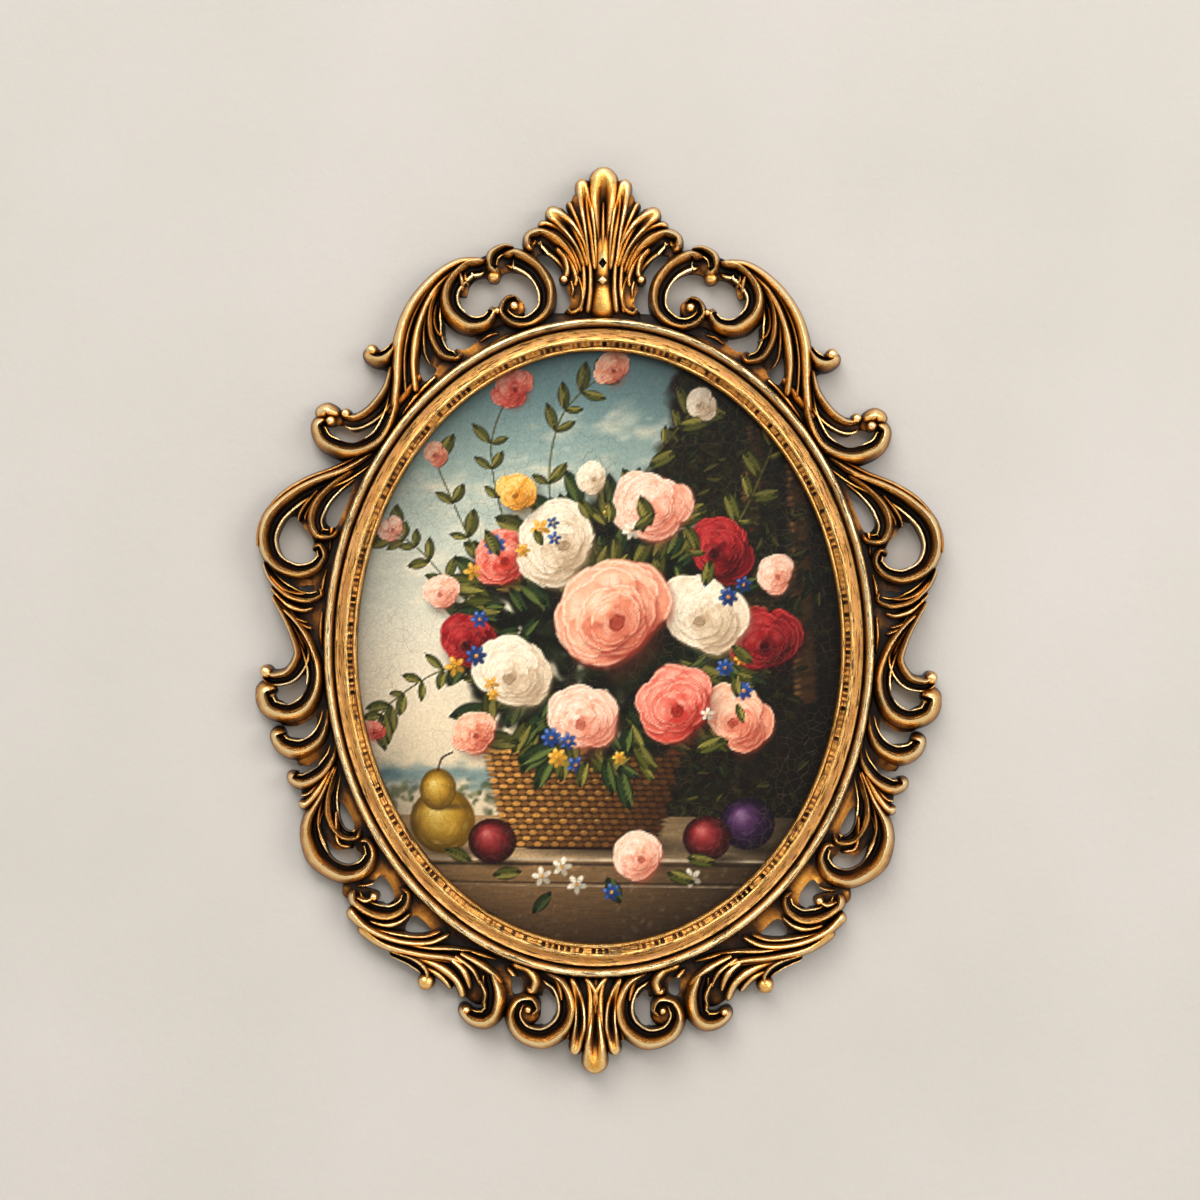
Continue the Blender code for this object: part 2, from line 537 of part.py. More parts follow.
def boolean(target, name, operation, other):
    """Adds a Boolean with one object or with a whole collection.

    The manifold solver is used, because the exact one loses the carving at the second cut: tight
    curls overlap themselves there.
    """
    step = target.modifiers.new(name, "BOOLEAN")
    step.operation = operation
    step.solver = "MANIFOLD"
    if isinstance(other, bpy.types.Collection):
        step.operand_type = "COLLECTION"
        step.collection = other
    else:
        step.object = other
        hide(other)


def carving():
    """Returns the carving's strokes and knobs, both halves, as closed bodies that overlap."""
    bodies = []
    drawn = (CREST, LOOP, ARM, SHOULDER, WING, SIDE_SCROLLS, ACANTHUS, FOOT, FLOOR)
    for side, side_name in ((1, "right"), (-1, "left")):
        for part_number, part in enumerate(drawn):
            for number, item in enumerate(part):
                name = f"carving_{side_name}_{part_number}_{number}"
                if isinstance(item, Knob):
                    bodies.append(knob_body(name, item, side))
                else:
                    bodies.append(stroke_body(name, item, side, DRAWN_LEAN))
    for number, item in enumerate(AXIAL):
        bodies.append(stroke_body(f"carving_axis_{number}", item, 1, 0.0))
    return bodies


def openings():
    """Returns the cutters of the pierced openings, both halves."""
    return [
        opening_body(f"opening_{number}_{side}", outline, side)
        for side in (1, -1)
        for number, outline in enumerate(OPENINGS)
    ]


def build_frame():
    """Makes the frame: the carving, pierced, joined to the moulding and cut flat at the back."""
    bodies = carving()
    frame = bodies.pop()
    frame.name = "frame"
    boolean(frame, "join the strokes", "UNION", group("carving", bodies))
    inside = oval_prism("inside_of_oval", MOULDING_WIDTH - TUCK, -CUTTER_REACH, CUTTER_REACH)
    boolean(frame, "clear the oval", "DIFFERENCE", inside)
    boolean(frame, "pierce", "DIFFERENCE", group("openings", openings()))
    skin = frame.modifiers.new("one skin over the strokes", "REMESH")
    skin.mode = "VOXEL"
    skin.voxel_size = SKIN_CELL
    fewer = frame.modifiers.new("fewer facets", "DECIMATE")
    fewer.ratio = KEPT_FACETS
    boolean(frame, "join the moulding", "UNION", moulding("oval_moulding"))
    behind = oval_prism("behind_the_wall_plane", SIGHT_WIDTH, 0.0, CUTTER_REACH)
    boolean(frame, "flat back", "DIFFERENCE", behind)
    frame.data.materials.append(material("antique gold casting", (0.55, 0.33, 0.10), 0.35, 1.0))
    return frame


def build_panel():
    """Makes the painted oval panel, which lies against the lip."""
    back = BOARD_THICKNESS + FIT_GAP
    panel = oval_prism("picture_panel", LIP_COVER, -(back + PANEL_THICKNESS), -back)
    panel.data.materials.append(material("varnished painting", (0.36, 0.32, 0.24), 0.35, 0.0))
    return panel


def build_board():
    """Makes the oval backing board, flush with the frame's back."""
    board = oval_prism("backing_board", LIP_COVER, -BOARD_THICKNESS, 0.0)
    board.data.materials.append(material("brown hardboard", (0.16, 0.09, 0.05), 0.85, 0.0))
    return board


def main():
    """Builds the three pieces."""
    clear_scene()
    build_frame()
    build_panel()
    build_board()


main()
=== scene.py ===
"""Looks of the framed oval picture: antique-gold casting, cracked flower painting and backing board."""

import json
import logging
import math
from dataclasses import dataclass
from enum import Enum
from functools import partial
from typing import Callable, Iterable, Sequence

import bmesh
import bpy
import numpy as np
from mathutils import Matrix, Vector
from mathutils.geometry import delaunay_2d_cdt
from mathutils.bvhtree import BVHTree

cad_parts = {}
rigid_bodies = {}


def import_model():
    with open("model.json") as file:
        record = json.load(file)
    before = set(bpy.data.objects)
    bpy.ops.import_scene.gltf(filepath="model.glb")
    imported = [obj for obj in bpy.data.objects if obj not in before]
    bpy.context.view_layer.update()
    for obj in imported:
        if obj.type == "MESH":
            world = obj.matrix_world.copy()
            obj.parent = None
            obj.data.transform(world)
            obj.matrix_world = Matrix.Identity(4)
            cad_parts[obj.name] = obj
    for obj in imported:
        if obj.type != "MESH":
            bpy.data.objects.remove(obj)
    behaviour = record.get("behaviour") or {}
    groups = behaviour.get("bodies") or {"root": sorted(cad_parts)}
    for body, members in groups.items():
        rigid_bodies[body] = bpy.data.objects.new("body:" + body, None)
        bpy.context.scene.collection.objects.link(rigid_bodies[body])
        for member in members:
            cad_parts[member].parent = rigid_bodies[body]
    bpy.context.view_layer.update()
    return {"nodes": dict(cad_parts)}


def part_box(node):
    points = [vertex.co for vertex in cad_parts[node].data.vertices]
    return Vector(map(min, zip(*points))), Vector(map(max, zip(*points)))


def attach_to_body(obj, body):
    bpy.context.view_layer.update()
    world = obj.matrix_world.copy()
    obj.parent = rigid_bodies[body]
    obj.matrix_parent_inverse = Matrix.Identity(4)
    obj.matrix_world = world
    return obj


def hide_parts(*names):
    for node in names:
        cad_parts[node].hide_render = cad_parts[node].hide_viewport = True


LOG = logging.getLogger("picture")
MM = 0.001

# How far the lip covers the picture, and the gap between pieces that touch, in metres
LIP_COVER = 0.005
FIT_GAP = 0.0003

Point = tuple[float, float]
Line = tuple[Point, ...]
Row = tuple[float, ...]
Tones = Sequence[str]
Stops = Sequence[tuple[float, str]]
Piece = bpy.types.Object
Socket = bpy.types.NodeSocket


def to_linear(values: np.ndarray) -> np.ndarray:
    """Turns sRGB values from 0 to 1 into linear ones.

    Args:
        values: An array of any shape.

    Returns:
        The linear values, in an array of the same shape.
    """
    return np.where(values <= 0.04045, values / 12.92, ((values + 0.055) / 1.055) ** 2.4)


def shown(code: str) -> np.ndarray:
    """Returns a hex colour such as "#C08A3E" as three sRGB values from 0 to 1."""
    return np.array([int(code[place:place + 2], 16) / 255 for place in (1, 3, 5)])


def linear(code: str) -> tuple[float, float, float, float]:
    """Returns a hex colour as the four linear values that a shader takes."""
    return (*(float(value) for value in to_linear(shown(code))), 1.0)


class Section(Enum):
    """Cross-sections of a stroke, from its cove side (-1) over the crest (0) to its outer side (1).

    Each point is a place and a height as a share of the crest's. A height of None lies behind the wall
    plane, where the casting is cut flat. COVE, RIB and SPOON have as many points as each other, so that a
    stroke can pass from a plain rib into a hollowed one along its length.
    """

    COVE = (
        (-1, None), (-1, 0.36), (-0.97, 0.55), (-0.89, 0.65), (-0.79, 0.65), (-0.68, 0.56),
        (-0.55, 0.47), (-0.39, 0.46), (-0.25, 0.62), (-0.15, 0.89), (0, 1), (0.2, 0.97),
        (0.44, 0.84), (0.74, 0.62), (0.96, 0.36), (1, None),
    )
    RIB = (
        (-1, None), (-1, 0.2), (-0.95, 0.46), (-0.82, 0.66), (-0.64, 0.8), (-0.46, 0.89),
        (-0.3, 0.95), (-0.16, 0.985), (0, 1), (0.16, 0.985), (0.34, 0.94), (0.54, 0.85),
        (0.74, 0.72), (0.9, 0.54), (1, 0.26), (1, None),
    )
    SPOON = (
        (-1, None), (-1, 0.45), (-0.95, 0.74), (-0.84, 0.92), (-0.7, 0.99), (-0.52, 0.99),
        (-0.32, 0.87), (-0.13, 0.71), (0, 0.68), (0.13, 0.71), (0.32, 0.87), (0.52, 0.99),
        (0.7, 0.99), (0.86, 0.9), (0.98, 0.58), (1, None),
    )
    PLATE = ((-1, None), (-1, 0.78), (-0.62, 0.93), (0, 1), (0.62, 0.93), (1, 0.78), (1, None))


@dataclass(frozen=True)
class Stroke:
    """One stroke of the carving, in millimetres.

    The crest line passes through a few points, out from the axis and up. Widths to both sides of it, the
    height and the depth of the hollow (cut, from 0 for a plain rib to 1) are evenly spaced along it. The
    inner side is as wide as the outer one where it isn't given. The cove lies inside the bend of the
    crest line, or outside it where the stroke is turned.
    """

    section: Section
    crest: Line
    outer: Row
    height: Row = (6.2, 6.2)
    inner: Row | None = None
    cut: Row = (1, 1)
    turned: bool = False


@dataclass(frozen=True)
class Knob:
    """A boss, in millimetres: its centre, radius and height, and how many sides it has."""

    centre: Point
    radius: float
    height: float
    sides: int = 18


cove, rib, spoon, plate = (partial(Stroke, section) for section in Section)

# The carving's right half, out from the axis and up from the oval's centre, as read from the photograph
CREST = (
    spoon(((2.2, 150), (3.7, 167), (5.5, 178), (7.2, 187.4)), (2.2, 2.8, 3.4, 3.6), (12.4, 14, 14.8, 13.6),
          (2.2, 2.8, 3.2, 3.2), (0.5, 0.9, 1, 1, 0.5, 0)),
    rib(((1.6, 150), (3, 163), (4.6, 174), (5, 183)), (2, 2.3, 1.7), (12.4, 13.8, 12.6)),
    rib(((3.2, 151), (6.2, 163), (9.4, 172), (12.4, 178.6)), (2.2, 2.6, 1.7), (12.2, 13.2, 11)),
    rib(((4, 151), (7.8, 162), (12.2, 169.8), (16.6, 175.8)), (2, 2.4, 1.7), (11.8, 12.8, 10.6)),
    spoon(((3.8, 151), (7.6, 160.6), (12.8, 168), (18.2, 172.6), (21.4, 173.8)), (2, 3, 3.8, 4.2),
          (11.6, 13.4, 14.4, 14.2), (2, 2.6, 3.2, 3.6), (0.2, 0.8, 1, 1, 0.5, 0)),
    rib(((5.2, 150), (9.4, 160), (15.2, 166.4), (21, 169.2), (24.4, 168.2)), (2, 2.4, 2), (11.2, 12.4, 11)),
    rib(((6.8, 149), (10.4, 158), (15.2, 164), (20.5, 166.6)), (2, 2.3, 1.7), (11, 12, 10.4)),
    cove(((8, 147), (10.4, 155.4), (15, 161.8), (20, 165), (24, 165.8), (27.6, 164), (27.8, 160.4),
         (26, 158.8)), (2.2, 2.6, 3), (11, 14, 11.6), (5, 8.5, 2.2), (0.8, 1, 1, 1, 0.3)),
    rib(((17.4, 160), (13.8, 156), (12.6, 150.6), (13.8, 147.4)), (1.7, 2.2, 2.2), (10.6, 11.4, 10.4)),
    rib(((14.6, 158.6), (11, 153.4), (9, 147.4), (9.6, 143.6)), (1.5, 2, 1.7), (10.6, 11.6, 10.6)),
    cove(((9, 149.5), (7.2, 144.6), (6.6, 139.6), (7.8, 135.6), (10.8, 134), (12.6, 136.2), (11, 138.6)),
         (2, 2.6, 2), (11, 12.6, 10.4), (3, 4.4, 2.2)),
    rib(((11.4, 147), (10.4, 143), (11, 139.4)), (1.2, 1.6, 1.1), (9.8, 10.4, 9.4)),
    rib(((3.6, 154), (3.4, 144), (4.6, 133)), (1.5, 1.9, 2.2), (12.8, 13.6, 11.8)),
    rib(((6.2, 153), (5.8, 143), (7.6, 133.2)), (1.5, 1.9, 2.2), (12.4, 12.8, 11)),
    Knob((14, 147.2), 2.1, 10.2),
)

LOOP = (
    cove(((39, 156.5), (34, 157.6), (29, 155.8), (23.5, 151.3), (19.6, 143.5), (20.5, 135), (27, 129.4),
         (34, 129.2), (38.8, 133.5), (37.6, 138.5), (34, 140), (32, 138)), (2.4, 2.6, 2.6, 1.6),
         (12, 14, 13, 11), (7.4, 6.2, 3.8, 2.4)),
    cove(((34, 159.6), (38, 160), (42.5, 157), (43.4, 152.5), (41.5, 150.4), (40.4, 152)), (1.2, 2.6, 2.4),
         (11, 14.6, 12), (3, 3.4, 2.6)),
    cove(((45, 154.3), (53, 153), (59.3, 146.5), (61.3, 140), (59, 133.3), (52, 128.6), (45.5, 129.6),
         (42.4, 133.5), (44, 135.6)), (1.6, 2.6, 5, 2.4), (12, 14, 13, 11), (6.6, 6, 4.6, 2.4)),
    rib(((56.4, 150.4), (55, 147), (54.6, 142)), (1.1, 1.7, 1), (10, 11, 8.6)),
    rib(((53.6, 149.8), (53.4, 147), (52.4, 144)), (1, 1.2, 0.7), (9.4, 10, 8.4)),
    Knob((34, 136.4), 2.2, 10.6),
    Knob((42, 148.2), 2.9, 9.6),
    Knob((40.6, 134.2), 1.8, 11),
)

ARM = (
    rib(((46, 154.2), (56, 153.4), (66, 146.6), (75, 135.2), (79.6, 122), (80.8, 105), (82, 94)),
        (1.7, 2.7, 3.2, 2.4), (12, 14.8, 14.8, 12), (2, 2.7, 2.9, 2.2)),
    rib(((55, 152), (66, 144.4), (74.2, 131), (77.6, 116), (77.2, 100)), (1, 1.3, 1.3, 1),
        (11, 12.2, 12, 11)),
    rib(((56, 151), (65.4, 142.6), (71.8, 129), (74.2, 115), (73.4, 101)), (1.5, 2.2, 2.4, 1.7),
        (12, 13.2, 12.8, 11), (1.5, 2.4, 2.9, 2)),
    rib(((62, 146), (67.4, 138), (69.8, 128), (69.6, 117), (66, 110)), (1, 1.2, 1.2, 1),
        (10, 11.2, 10.8, 9)),
    cove(((59, 149), (66.4, 138), (67.4, 126), (63.5, 117.3), (57.5, 115.2), (55, 117.6)), (1.6, 2.4, 2.2),
         (11, 13, 10.4), (2.4, 5.2, 2.8)),
    rib(((65, 137), (66, 130), (64.6, 125.4), (61.6, 123)), (0.9, 1.1, 0.9), (9.4, 10, 9)),
    cove(((80, 122), (84.2, 116.6), (88, 115), (91.4, 116.2), (91.2, 119)), (2.8, 4.8, 3), (12, 13.2, 11),
         (2, 3, 1.8)),
    cove(((83, 112), (85, 103.5), (90.5, 95.6), (97, 91.2), (102.3, 91.6)), (1.8, 2.2, 2), (13, 13, 11),
         (4.6, 6, 5), turned=True),
    rib(((84.6, 92), (77.4, 101), (70, 110)), (2, 2.7, 2), (9.4, 9.8, 8.6)),
    rib(((80.4, 90), (72.6, 100.6), (65, 108.4)), (1.5, 2, 1.5), (8, 8.4, 7.6)),
    Knob((90.8, 118), 2.5, 12.2),
    Knob((101.2, 92.6), 2.2, 11.2),
)

SHOULDER = (
    cove(((109, 90.4), (112.2, 87.4), (109.6, 81.4), (102, 78), (94, 78.6), (86.5, 83.5), (82, 94),
         (81, 105)), (3.4, 4.6, 3, 2), (11, 14, 14, 12), (2.8, 4.6, 4.8, 3)),
    rib(((103.5, 91.8), (109, 93.6), (113, 90.8)), (2.4, 3.7, 3.4), (9.4, 11.4, 9)),
    Knob((107.3, 89.6), 2.3, 11.4),
)

WING = (
    cove(((90, 77), (101, 70.2), (112, 66), (122, 60.6), (131, 52), (134, 42), (130.6, 32.8), (122, 28.3),
         (114, 30), (110, 35), (111.5, 39.4), (115, 38.6)), (2.6, 2.6, 3.6, 2.4, 1.8), (11, 14, 15, 14, 12),
         (3.4, 6, 6, 4.8, 2.4)),
    rib(((95, 76), (106, 70.6), (118, 65.6), (128, 58.6), (135, 48.4), (136.4, 39)), (1.2, 1.5, 1.5),
        (9.6, 12, 10.6), (1.2, 2, 1.5)),
    cove(((98, 70), (106, 64.6), (112.6, 57.6), (115, 50), (112.4, 44), (107, 43.6), (104.5, 46.5)),
         (1.8, 2.6, 2.2), (11, 13, 10.4), (3.6, 5.4, 2.6)),
    rib(((112, 62.4), (116.6, 57), (119.6, 52.6), (120.6, 49)), (1.1, 1.3, 1), (10.4, 10.8, 8)),
    rib(((110.6, 62), (114.4, 56.6), (117.2, 52), (117.6, 49.4)), (1.1, 1.5, 1), (10.4, 10.4, 8)),
    cove(((134.2, 33), (131, 26), (124.5, 19.8), (117, 17.8), (111.4, 19.8), (112, 23)), (1.8, 2.2, 1.8),
         (11, 13.2, 10.4), (2, 4.4, 2.2)),
    rib(((132.6, 29), (126.6, 22.4), (121, 20.4), (116.6, 20.6)), (1.1, 1.5, 0.9), (10, 11.4, 9)),
    rib(((131.5, 23), (125, 16.2), (118.5, 13.8), (114, 15)), (1.2, 2, 1.2), (10, 11.4, 9)),
    rib(((129.6, 18.6), (122.6, 11.2), (116.4, 8.8)), (1, 1.5, 1), (10, 10.6, 8.6)),
    rib(((128.2, 17), (121.2, 9.2), (114.5, 6.2)), (1.1, 1.6, 1.1), (10, 10.8, 8.8)),
    rib(((126.6, 14), (121, 5.6), (117.6, -2)), (1.1, 1.5, 1.1), (10, 10.6, 9.4)),
    cove(((130.6, 19.6), (124.6, 8.8), (121.2, 0), (120.8, -5), (124.4, -10.8), (130, -12.4), (134, -10.4)),
         (1.6, 1.8, 2.2, 2.6), (13, 13.4, 13.4, 13), (2.5, 5, 5.4, 4), turned=True),
    Knob((133, -10.8), 2.7, 13),
)

SIDE_SCROLLS = (
    cove(((129.4, -17.6), (133.4, -19.4), (131.4, -25.2), (124, -27.6), (117, -24.6), (113, -17),
         (112.6, -8.5), (116, 1), (121, 8.6), (127, 14.6)), (5, 4.4, 2.6, 2), (13, 14, 13, 12),
         (3, 5, 5, 2.6)),
    rib(((114.6, -4), (117.6, 1.6), (122, 7.6)), (1, 1.2, 1), (9.4, 10.4, 9)),
    cove(((125.6, -35), (128.8, -36.4), (126, -40.6), (119.5, -42.2), (112.4, -38.4), (109.2, -32),
         (108.5, -25)), (3, 4.6, 3, 2), (12, 13.4, 12, 10), (2.6, 4.6, 4.4, 2.4)),
    cove(((121.8, -50.6), (122, -53.6), (117.5, -54.8), (111, -51.4), (106.4, -45), (105, -38)),
         (3, 4.2, 3, 2), (12, 12.6, 12, 10), (2.2, 4, 3.8, 2.4)),
    rib(((120.2, -63), (116.5, -63.2), (111.5, -57), (107, -49)), (2.9, 3.2, 2), (11, 12, 10),
        (2, 2.2, 1.7)),
    rib(((119.4, -60.4), (115.6, -59.2), (110.6, -53.6)), (1.2, 1.5, 1), (9.8, 10.6, 9)),
    cove(((105.4, -48), (110.6, -60), (115.4, -69), (116, -77), (112, -86), (102.6, -91.7), (94.4, -90),
         (90.6, -84), (92.4, -78.6), (95.8, -78.6)), (1.8, 3, 5, 4, 1.8), (11, 13, 14, 13, 11),
         (2, 4.4, 6, 4.8, 2.4)),
    rib(((107.4, -54), (111.2, -64), (112.2, -73), (109, -81)), (1, 1.3, 1.1), (9.4, 10.4, 9)),
    cove(((104.6, -48), (108.2, -60), (108, -69), (103.6, -76), (97.6, -77), (95.2, -73.6)), (1.6, 2.4, 1.8),
         (10.4, 12.4, 10.4), (2.4, 5, 2.6)),
    rib(((105.2, -66), (104.4, -78.6), (99.4, -80.6)), (1.1, 1.6, 1.1), (9, 10, 9)),
)

ACANTHUS = (
    cove(((98, -97.6), (97.4, -102.4), (91, -107), (83.5, -108.2), (77.6, -104.4), (76.4, -99.4),
         (79, -97.4)), (3.4, 2.8, 2), (12, 13.2, 10.4), (3.4, 5, 2.6)),
    rib(((97.6, -100.6), (93.2, -102.2), (89.8, -100.6)), (1.1, 1.6, 1.3), (10, 10.8, 10)),
    rib(((92, -110), (85.4, -111.6), (79.6, -110.4), (75.4, -107)), (1.5, 2, 1.1), (10.6, 12, 9)),
    rib(((100, -105), (93, -112.4), (81, -117.6), (68, -118.6), (59.5, -115)), (3.7, 2.4, 2.2, 1.5),
        (11, 13.4, 12.6, 9.6), (2, 2, 2, 1.5)),
    rib(((90, -113.2), (80, -115.4), (70, -116.2), (63, -114)), (1.2, 1.6, 1.1), (11, 11.8, 9.4)),
    rib(((96, -111.6), (86, -119), (72, -122.8), (60, -124.4), (53, -127)), (3.7, 2.9, 2.4, 2),
        (11, 13, 13, 11), (2, 1.8, 1.7, 1.5)),
    rib(((80, -118.8), (68, -120.6), (58, -120.9), (50, -122)), (1.2, 1.5, 1.1), (11, 12, 9.4)),
    rib(((82, -122.6), (70, -124.6), (58, -126.4)), (1.2, 1.5, 1.1), (10, 11, 9.8)),
    cove(((84, -122), (74, -125.2), (69.4, -129.4), (69, -133.4), (71.4, -134)), (1.8, 2.6, 1.8),
         (11, 12.2, 11), (2.4, 4, 2.2)),
    Knob((69.2, -134.4), 3.5, 11),
    Knob((90, -100.4), 2, 10.8),
)

FOOT = (
    rib(((60, -124.6), (54.4, -129.4), (51.4, -137.6)), (2, 2.9, 1.5), (11.4, 12, 9), (1.5, 2, 1.2)),
    rib(((58, -123.4), (50.6, -129), (47.4, -136)), (1.5, 1.7, 1.2), (11, 12, 9)),
    rib(((56, -122.4), (48, -126.6), (42.4, -130.6), (38.6, -135.2)), (1.5, 2.2, 1.6), (11, 12.4, 9.6)),
    rib(((52, -121.6), (45, -123.8), (40.6, -125.2)), (1.1, 1.5, 0.9), (10, 11, 9)),
    cove(((43.4, -129), (40.4, -138), (41.6, -146), (45.6, -149.4), (50.4, -149), (54, -146),
         (52.4, -144.2)), (2, 4.2, 4.4, 2.4), (12, 13.4, 13, 11), (5, 6.6, 4.6, 2.4)),
    rib(((48, -133), (45.4, -139), (46.6, -144)), (1.1, 1.5, 1), (10, 10.8, 9)),
    cove(((22, -129.6), (14.6, -134), (11, -143.4), (13.6, -152), (22, -157.3), (31, -155), (35, -148),
         (32.4, -141.6), (27, -140.8), (25, -144.6), (27.6, -147.4)), (2.4, 3.6, 4.2, 3, 1.6),
         (12, 14, 14, 13, 10.6), (5, 6, 5.6, 4, 2)),
    rib(((35, -126.5), (28.4, -129), (25.6, -133.4), (26.8, -137), (29, -136)), (2.2, 3.2, 2.7),
        (10.4, 12, 10.6), (2.2, 2.7, 2)),
    rib(((4.8, -131), (3.2, -139), (3.8, -148), (5.6, -158)), (2, 2.4, 1.8), (11.6, 12.4, 11.4)),
    spoon(((11.4, -131.6), (8.6, -139), (7.6, -148), (8.6, -156), (10, -163)), (2, 2.6, 3.1, 3.3),
          (11, 12.4, 13.4, 12.8), (1.8, 2.3, 2.8, 3), (0, 0.4, 0.9, 1, 0.6, 0)),
    rib(((14.2, -133), (11.6, -141), (11.2, -149), (12.8, -157.4)), (1.7, 2.3, 1.6), (10.8, 11.8, 10)),
    rib(((76, -124), (65, -127.4), (57, -133.6), (54, -141)), (2, 2.9, 2), (10.4, 11.4, 9.4)),
    rib(((72, -127.6), (64, -131.4), (59, -137.4)), (1.7, 2.4, 1.5), (9.4, 10.2, 8)),
    rib(((37, -128), (33.4, -133), (33.8, -140)), (1.5, 2, 1.2), (9.4, 10.2, 8.6)),
    rib(((18, -131.6), (15.6, -136), (14.8, -142)), (1.5, 2, 1.2), (9.4, 10.2, 8.6)),
    rib(((0.8, -144), (1.6, -137), (6, -130.8)), (1.6, 2.3, 2.4), (11.8, 13, 11.6)),
    Knob((28.4, -145), 1.8, 10.6),
    Knob((53.2, -145.4), 2, 10.8),
)

# Low leaf ribs and beads that lie along the oval's edge
EDGE_LEAVES = (
    rib(((48, 121.6), (44, 124.4), (39.6, 125.6)), (1, 1.3, 0.9), (7, 8, 6.6)),
    rib(((45, 119.6), (38, 123.8), (30, 126.8)), (1, 1.3, 0.9), (7, 8, 6.6)),
    rib(((84.4, 88), (87.4, 83), (91, 79)), (1.1, 1.5, 1.1), (8.4, 9.2, 8)),
    rib(((104.2, 60), (106.8, 48), (108, 36)), (1.1, 1.6, 1.1), (7, 8.6, 7)),
    *(rib(line, (1, 1.5, 1), (7.4, 8.8, 7)) for line in (
        ((108.8, 31), (110.4, 25), (110.8, 18)), ((110.8, 14), (111.4, 6), (111, -2)),
        ((109.8, -12), (109, -20), (107.2, -28)), ((106.8, -33), (105.4, -40), (102.8, -48)),
    )),
    rib(((86, -92), (91, -95.6), (97, -96.4)), (1, 1.3, 1), (8, 9, 8)),
)

# Low floor that ties the carving together where it is not pierced
FLOOR = (
    plate(((0, 122), (4, 138), (5, 152)), (16, 9, 7), (6, 9, 10)),
    plate(((3, 148), (8, 161), (16, 172)), (6, 8, 6), (9.6, 9.6)),
    plate(((4, 160), (7, 172), (7.5, 182)), (5, 5, 3), (10, 10)),
    plate(((17, 164), (26, 161), (24, 154)), (4, 4, 4), (7, 7)),
    plate(((5, 149), (14, 148)), (4, 4), (7.5, 7.5), (4, 3)),
    plate(((30, 155), (42, 152.5), (54, 148)), (4, 5, 5), (4, 7, 4)),
    plate(((60, 152), (56, 146), (54, 139)), (3, 4, 3)),
    plate(((50, 126), (40, 131), (30, 129)), (3, 3, 3)),
    plate(((8, 130), (26, 128), (44, 121), (60, 112), (76, 96), (84, 86)), (4, 5, 5, 4, 4, 3)),
    plate(((62, 146), (68, 130), (72, 112), (84, 92)), (3, 7, 9, 6)),
    plate(((87, 113), (80, 112)), (3, 3)),
    plate(((87, 97), (93, 90.4), (104, 89)), (3, 4, 4), inner=(3, 4, 3)),
    plate(((88, 80), (98, 64), (105, 42), (111, 18), (113, -8), (108, -36), (102, -58), (88, -86),
          (72, -108), (48, -126), (24, -134), (0, -136)), (5, 5, 6, 10, 7, 7, 6, 6, 7, 8, 6, 4),
          inner=(5, 5, 6, 8, 7, 7, 6, 6, 7, 8, 6, 4)),
    plate(((128, 54), (118, 57), (106, 64)), (3.5, 5, 5)),
    plate(((104, 60), (113, 52), (116, 40)), (4, 5, 5)),
    plate(((131, 31), (124, 24), (112, 22)), (3, 5, 6)),
    plate(((129, -29), (118, -27), (110, -20)), (4, 5, 5)),
    plate(((121, -47.5), (112, -42), (106, -36)), (4, 5, 5)),
    plate(((119, -60), (111, -54), (104, -46)), (3, 5, 5)),
    plate(((109, -54), (111, -68), (107, -77), (98, -79)), (4, 5, 5, 5)),
    plate(((103, -97), (94, -98), (86, -90)), (4, 5, 4)),
    plate(((94, -108), (80, -113), (64, -114)), (5, 5, 4)),
    plate(((68, -124), (54, -131), (44, -142)), (5, 7, 6)),
    plate(((44, -128), (34, -138), (36, -150)), (7, 7, 4)),
    Knob((34.5, 136), 5.6, 7),
    Knob((29.5, -146), 6.4, 7),
    Knob((90, 116.4), 3, 7),
    Knob((105.2, 90.6), 3.4, 7),
)

# Strokes and floor that lie on the axis, drawn upright
AXIAL = (
    spoon(((0, 157), (0, 170), (0, 182), (0, 192.1)), (2.4, 3.4, 5.2, 6.6, 5.8), (12, 14, 15.6, 15),
          cut=(0.2, 0.8, 1, 1, 0.5, 0)),
    rib(((0, 156), (0, 166), (0, 178)), (1.6, 1.8, 1.1), (12.6, 13.6, 13)),
    rib(((0, 130), (0, 139), (0, 147), (0, 157), (0, 170)), (9.4, 6.4, 5.6, 7.2, 8.4),
        (11.6, 12.2, 11.8, 12.7, 11.4)),
    rib(((0, -131), (0, -138), (0, -147)), (3.4, 2.2, 1.5), (10.8, 12, 11.4)),
    spoon(((0, -139), (0, -150), (0, -160), (0, -170.4)), (1.8, 2.8, 5, 6), (11.4, 12.8, 14.4, 13.8),
          cut=(0, 0.5, 1, 0.9, 0.4, 0)),
    plate(((0, -130), (0, -150), (0, -163)), (12, 6, 9), (8.4, 8.4)),
    Knob((0, 146.3), 2.9, 15, 4),
)

# The lozenge sunk into the crest's neck: its centre, radius and floor
LOZENGE = Knob((0, 153.4), 2.2, 9.0, 4)

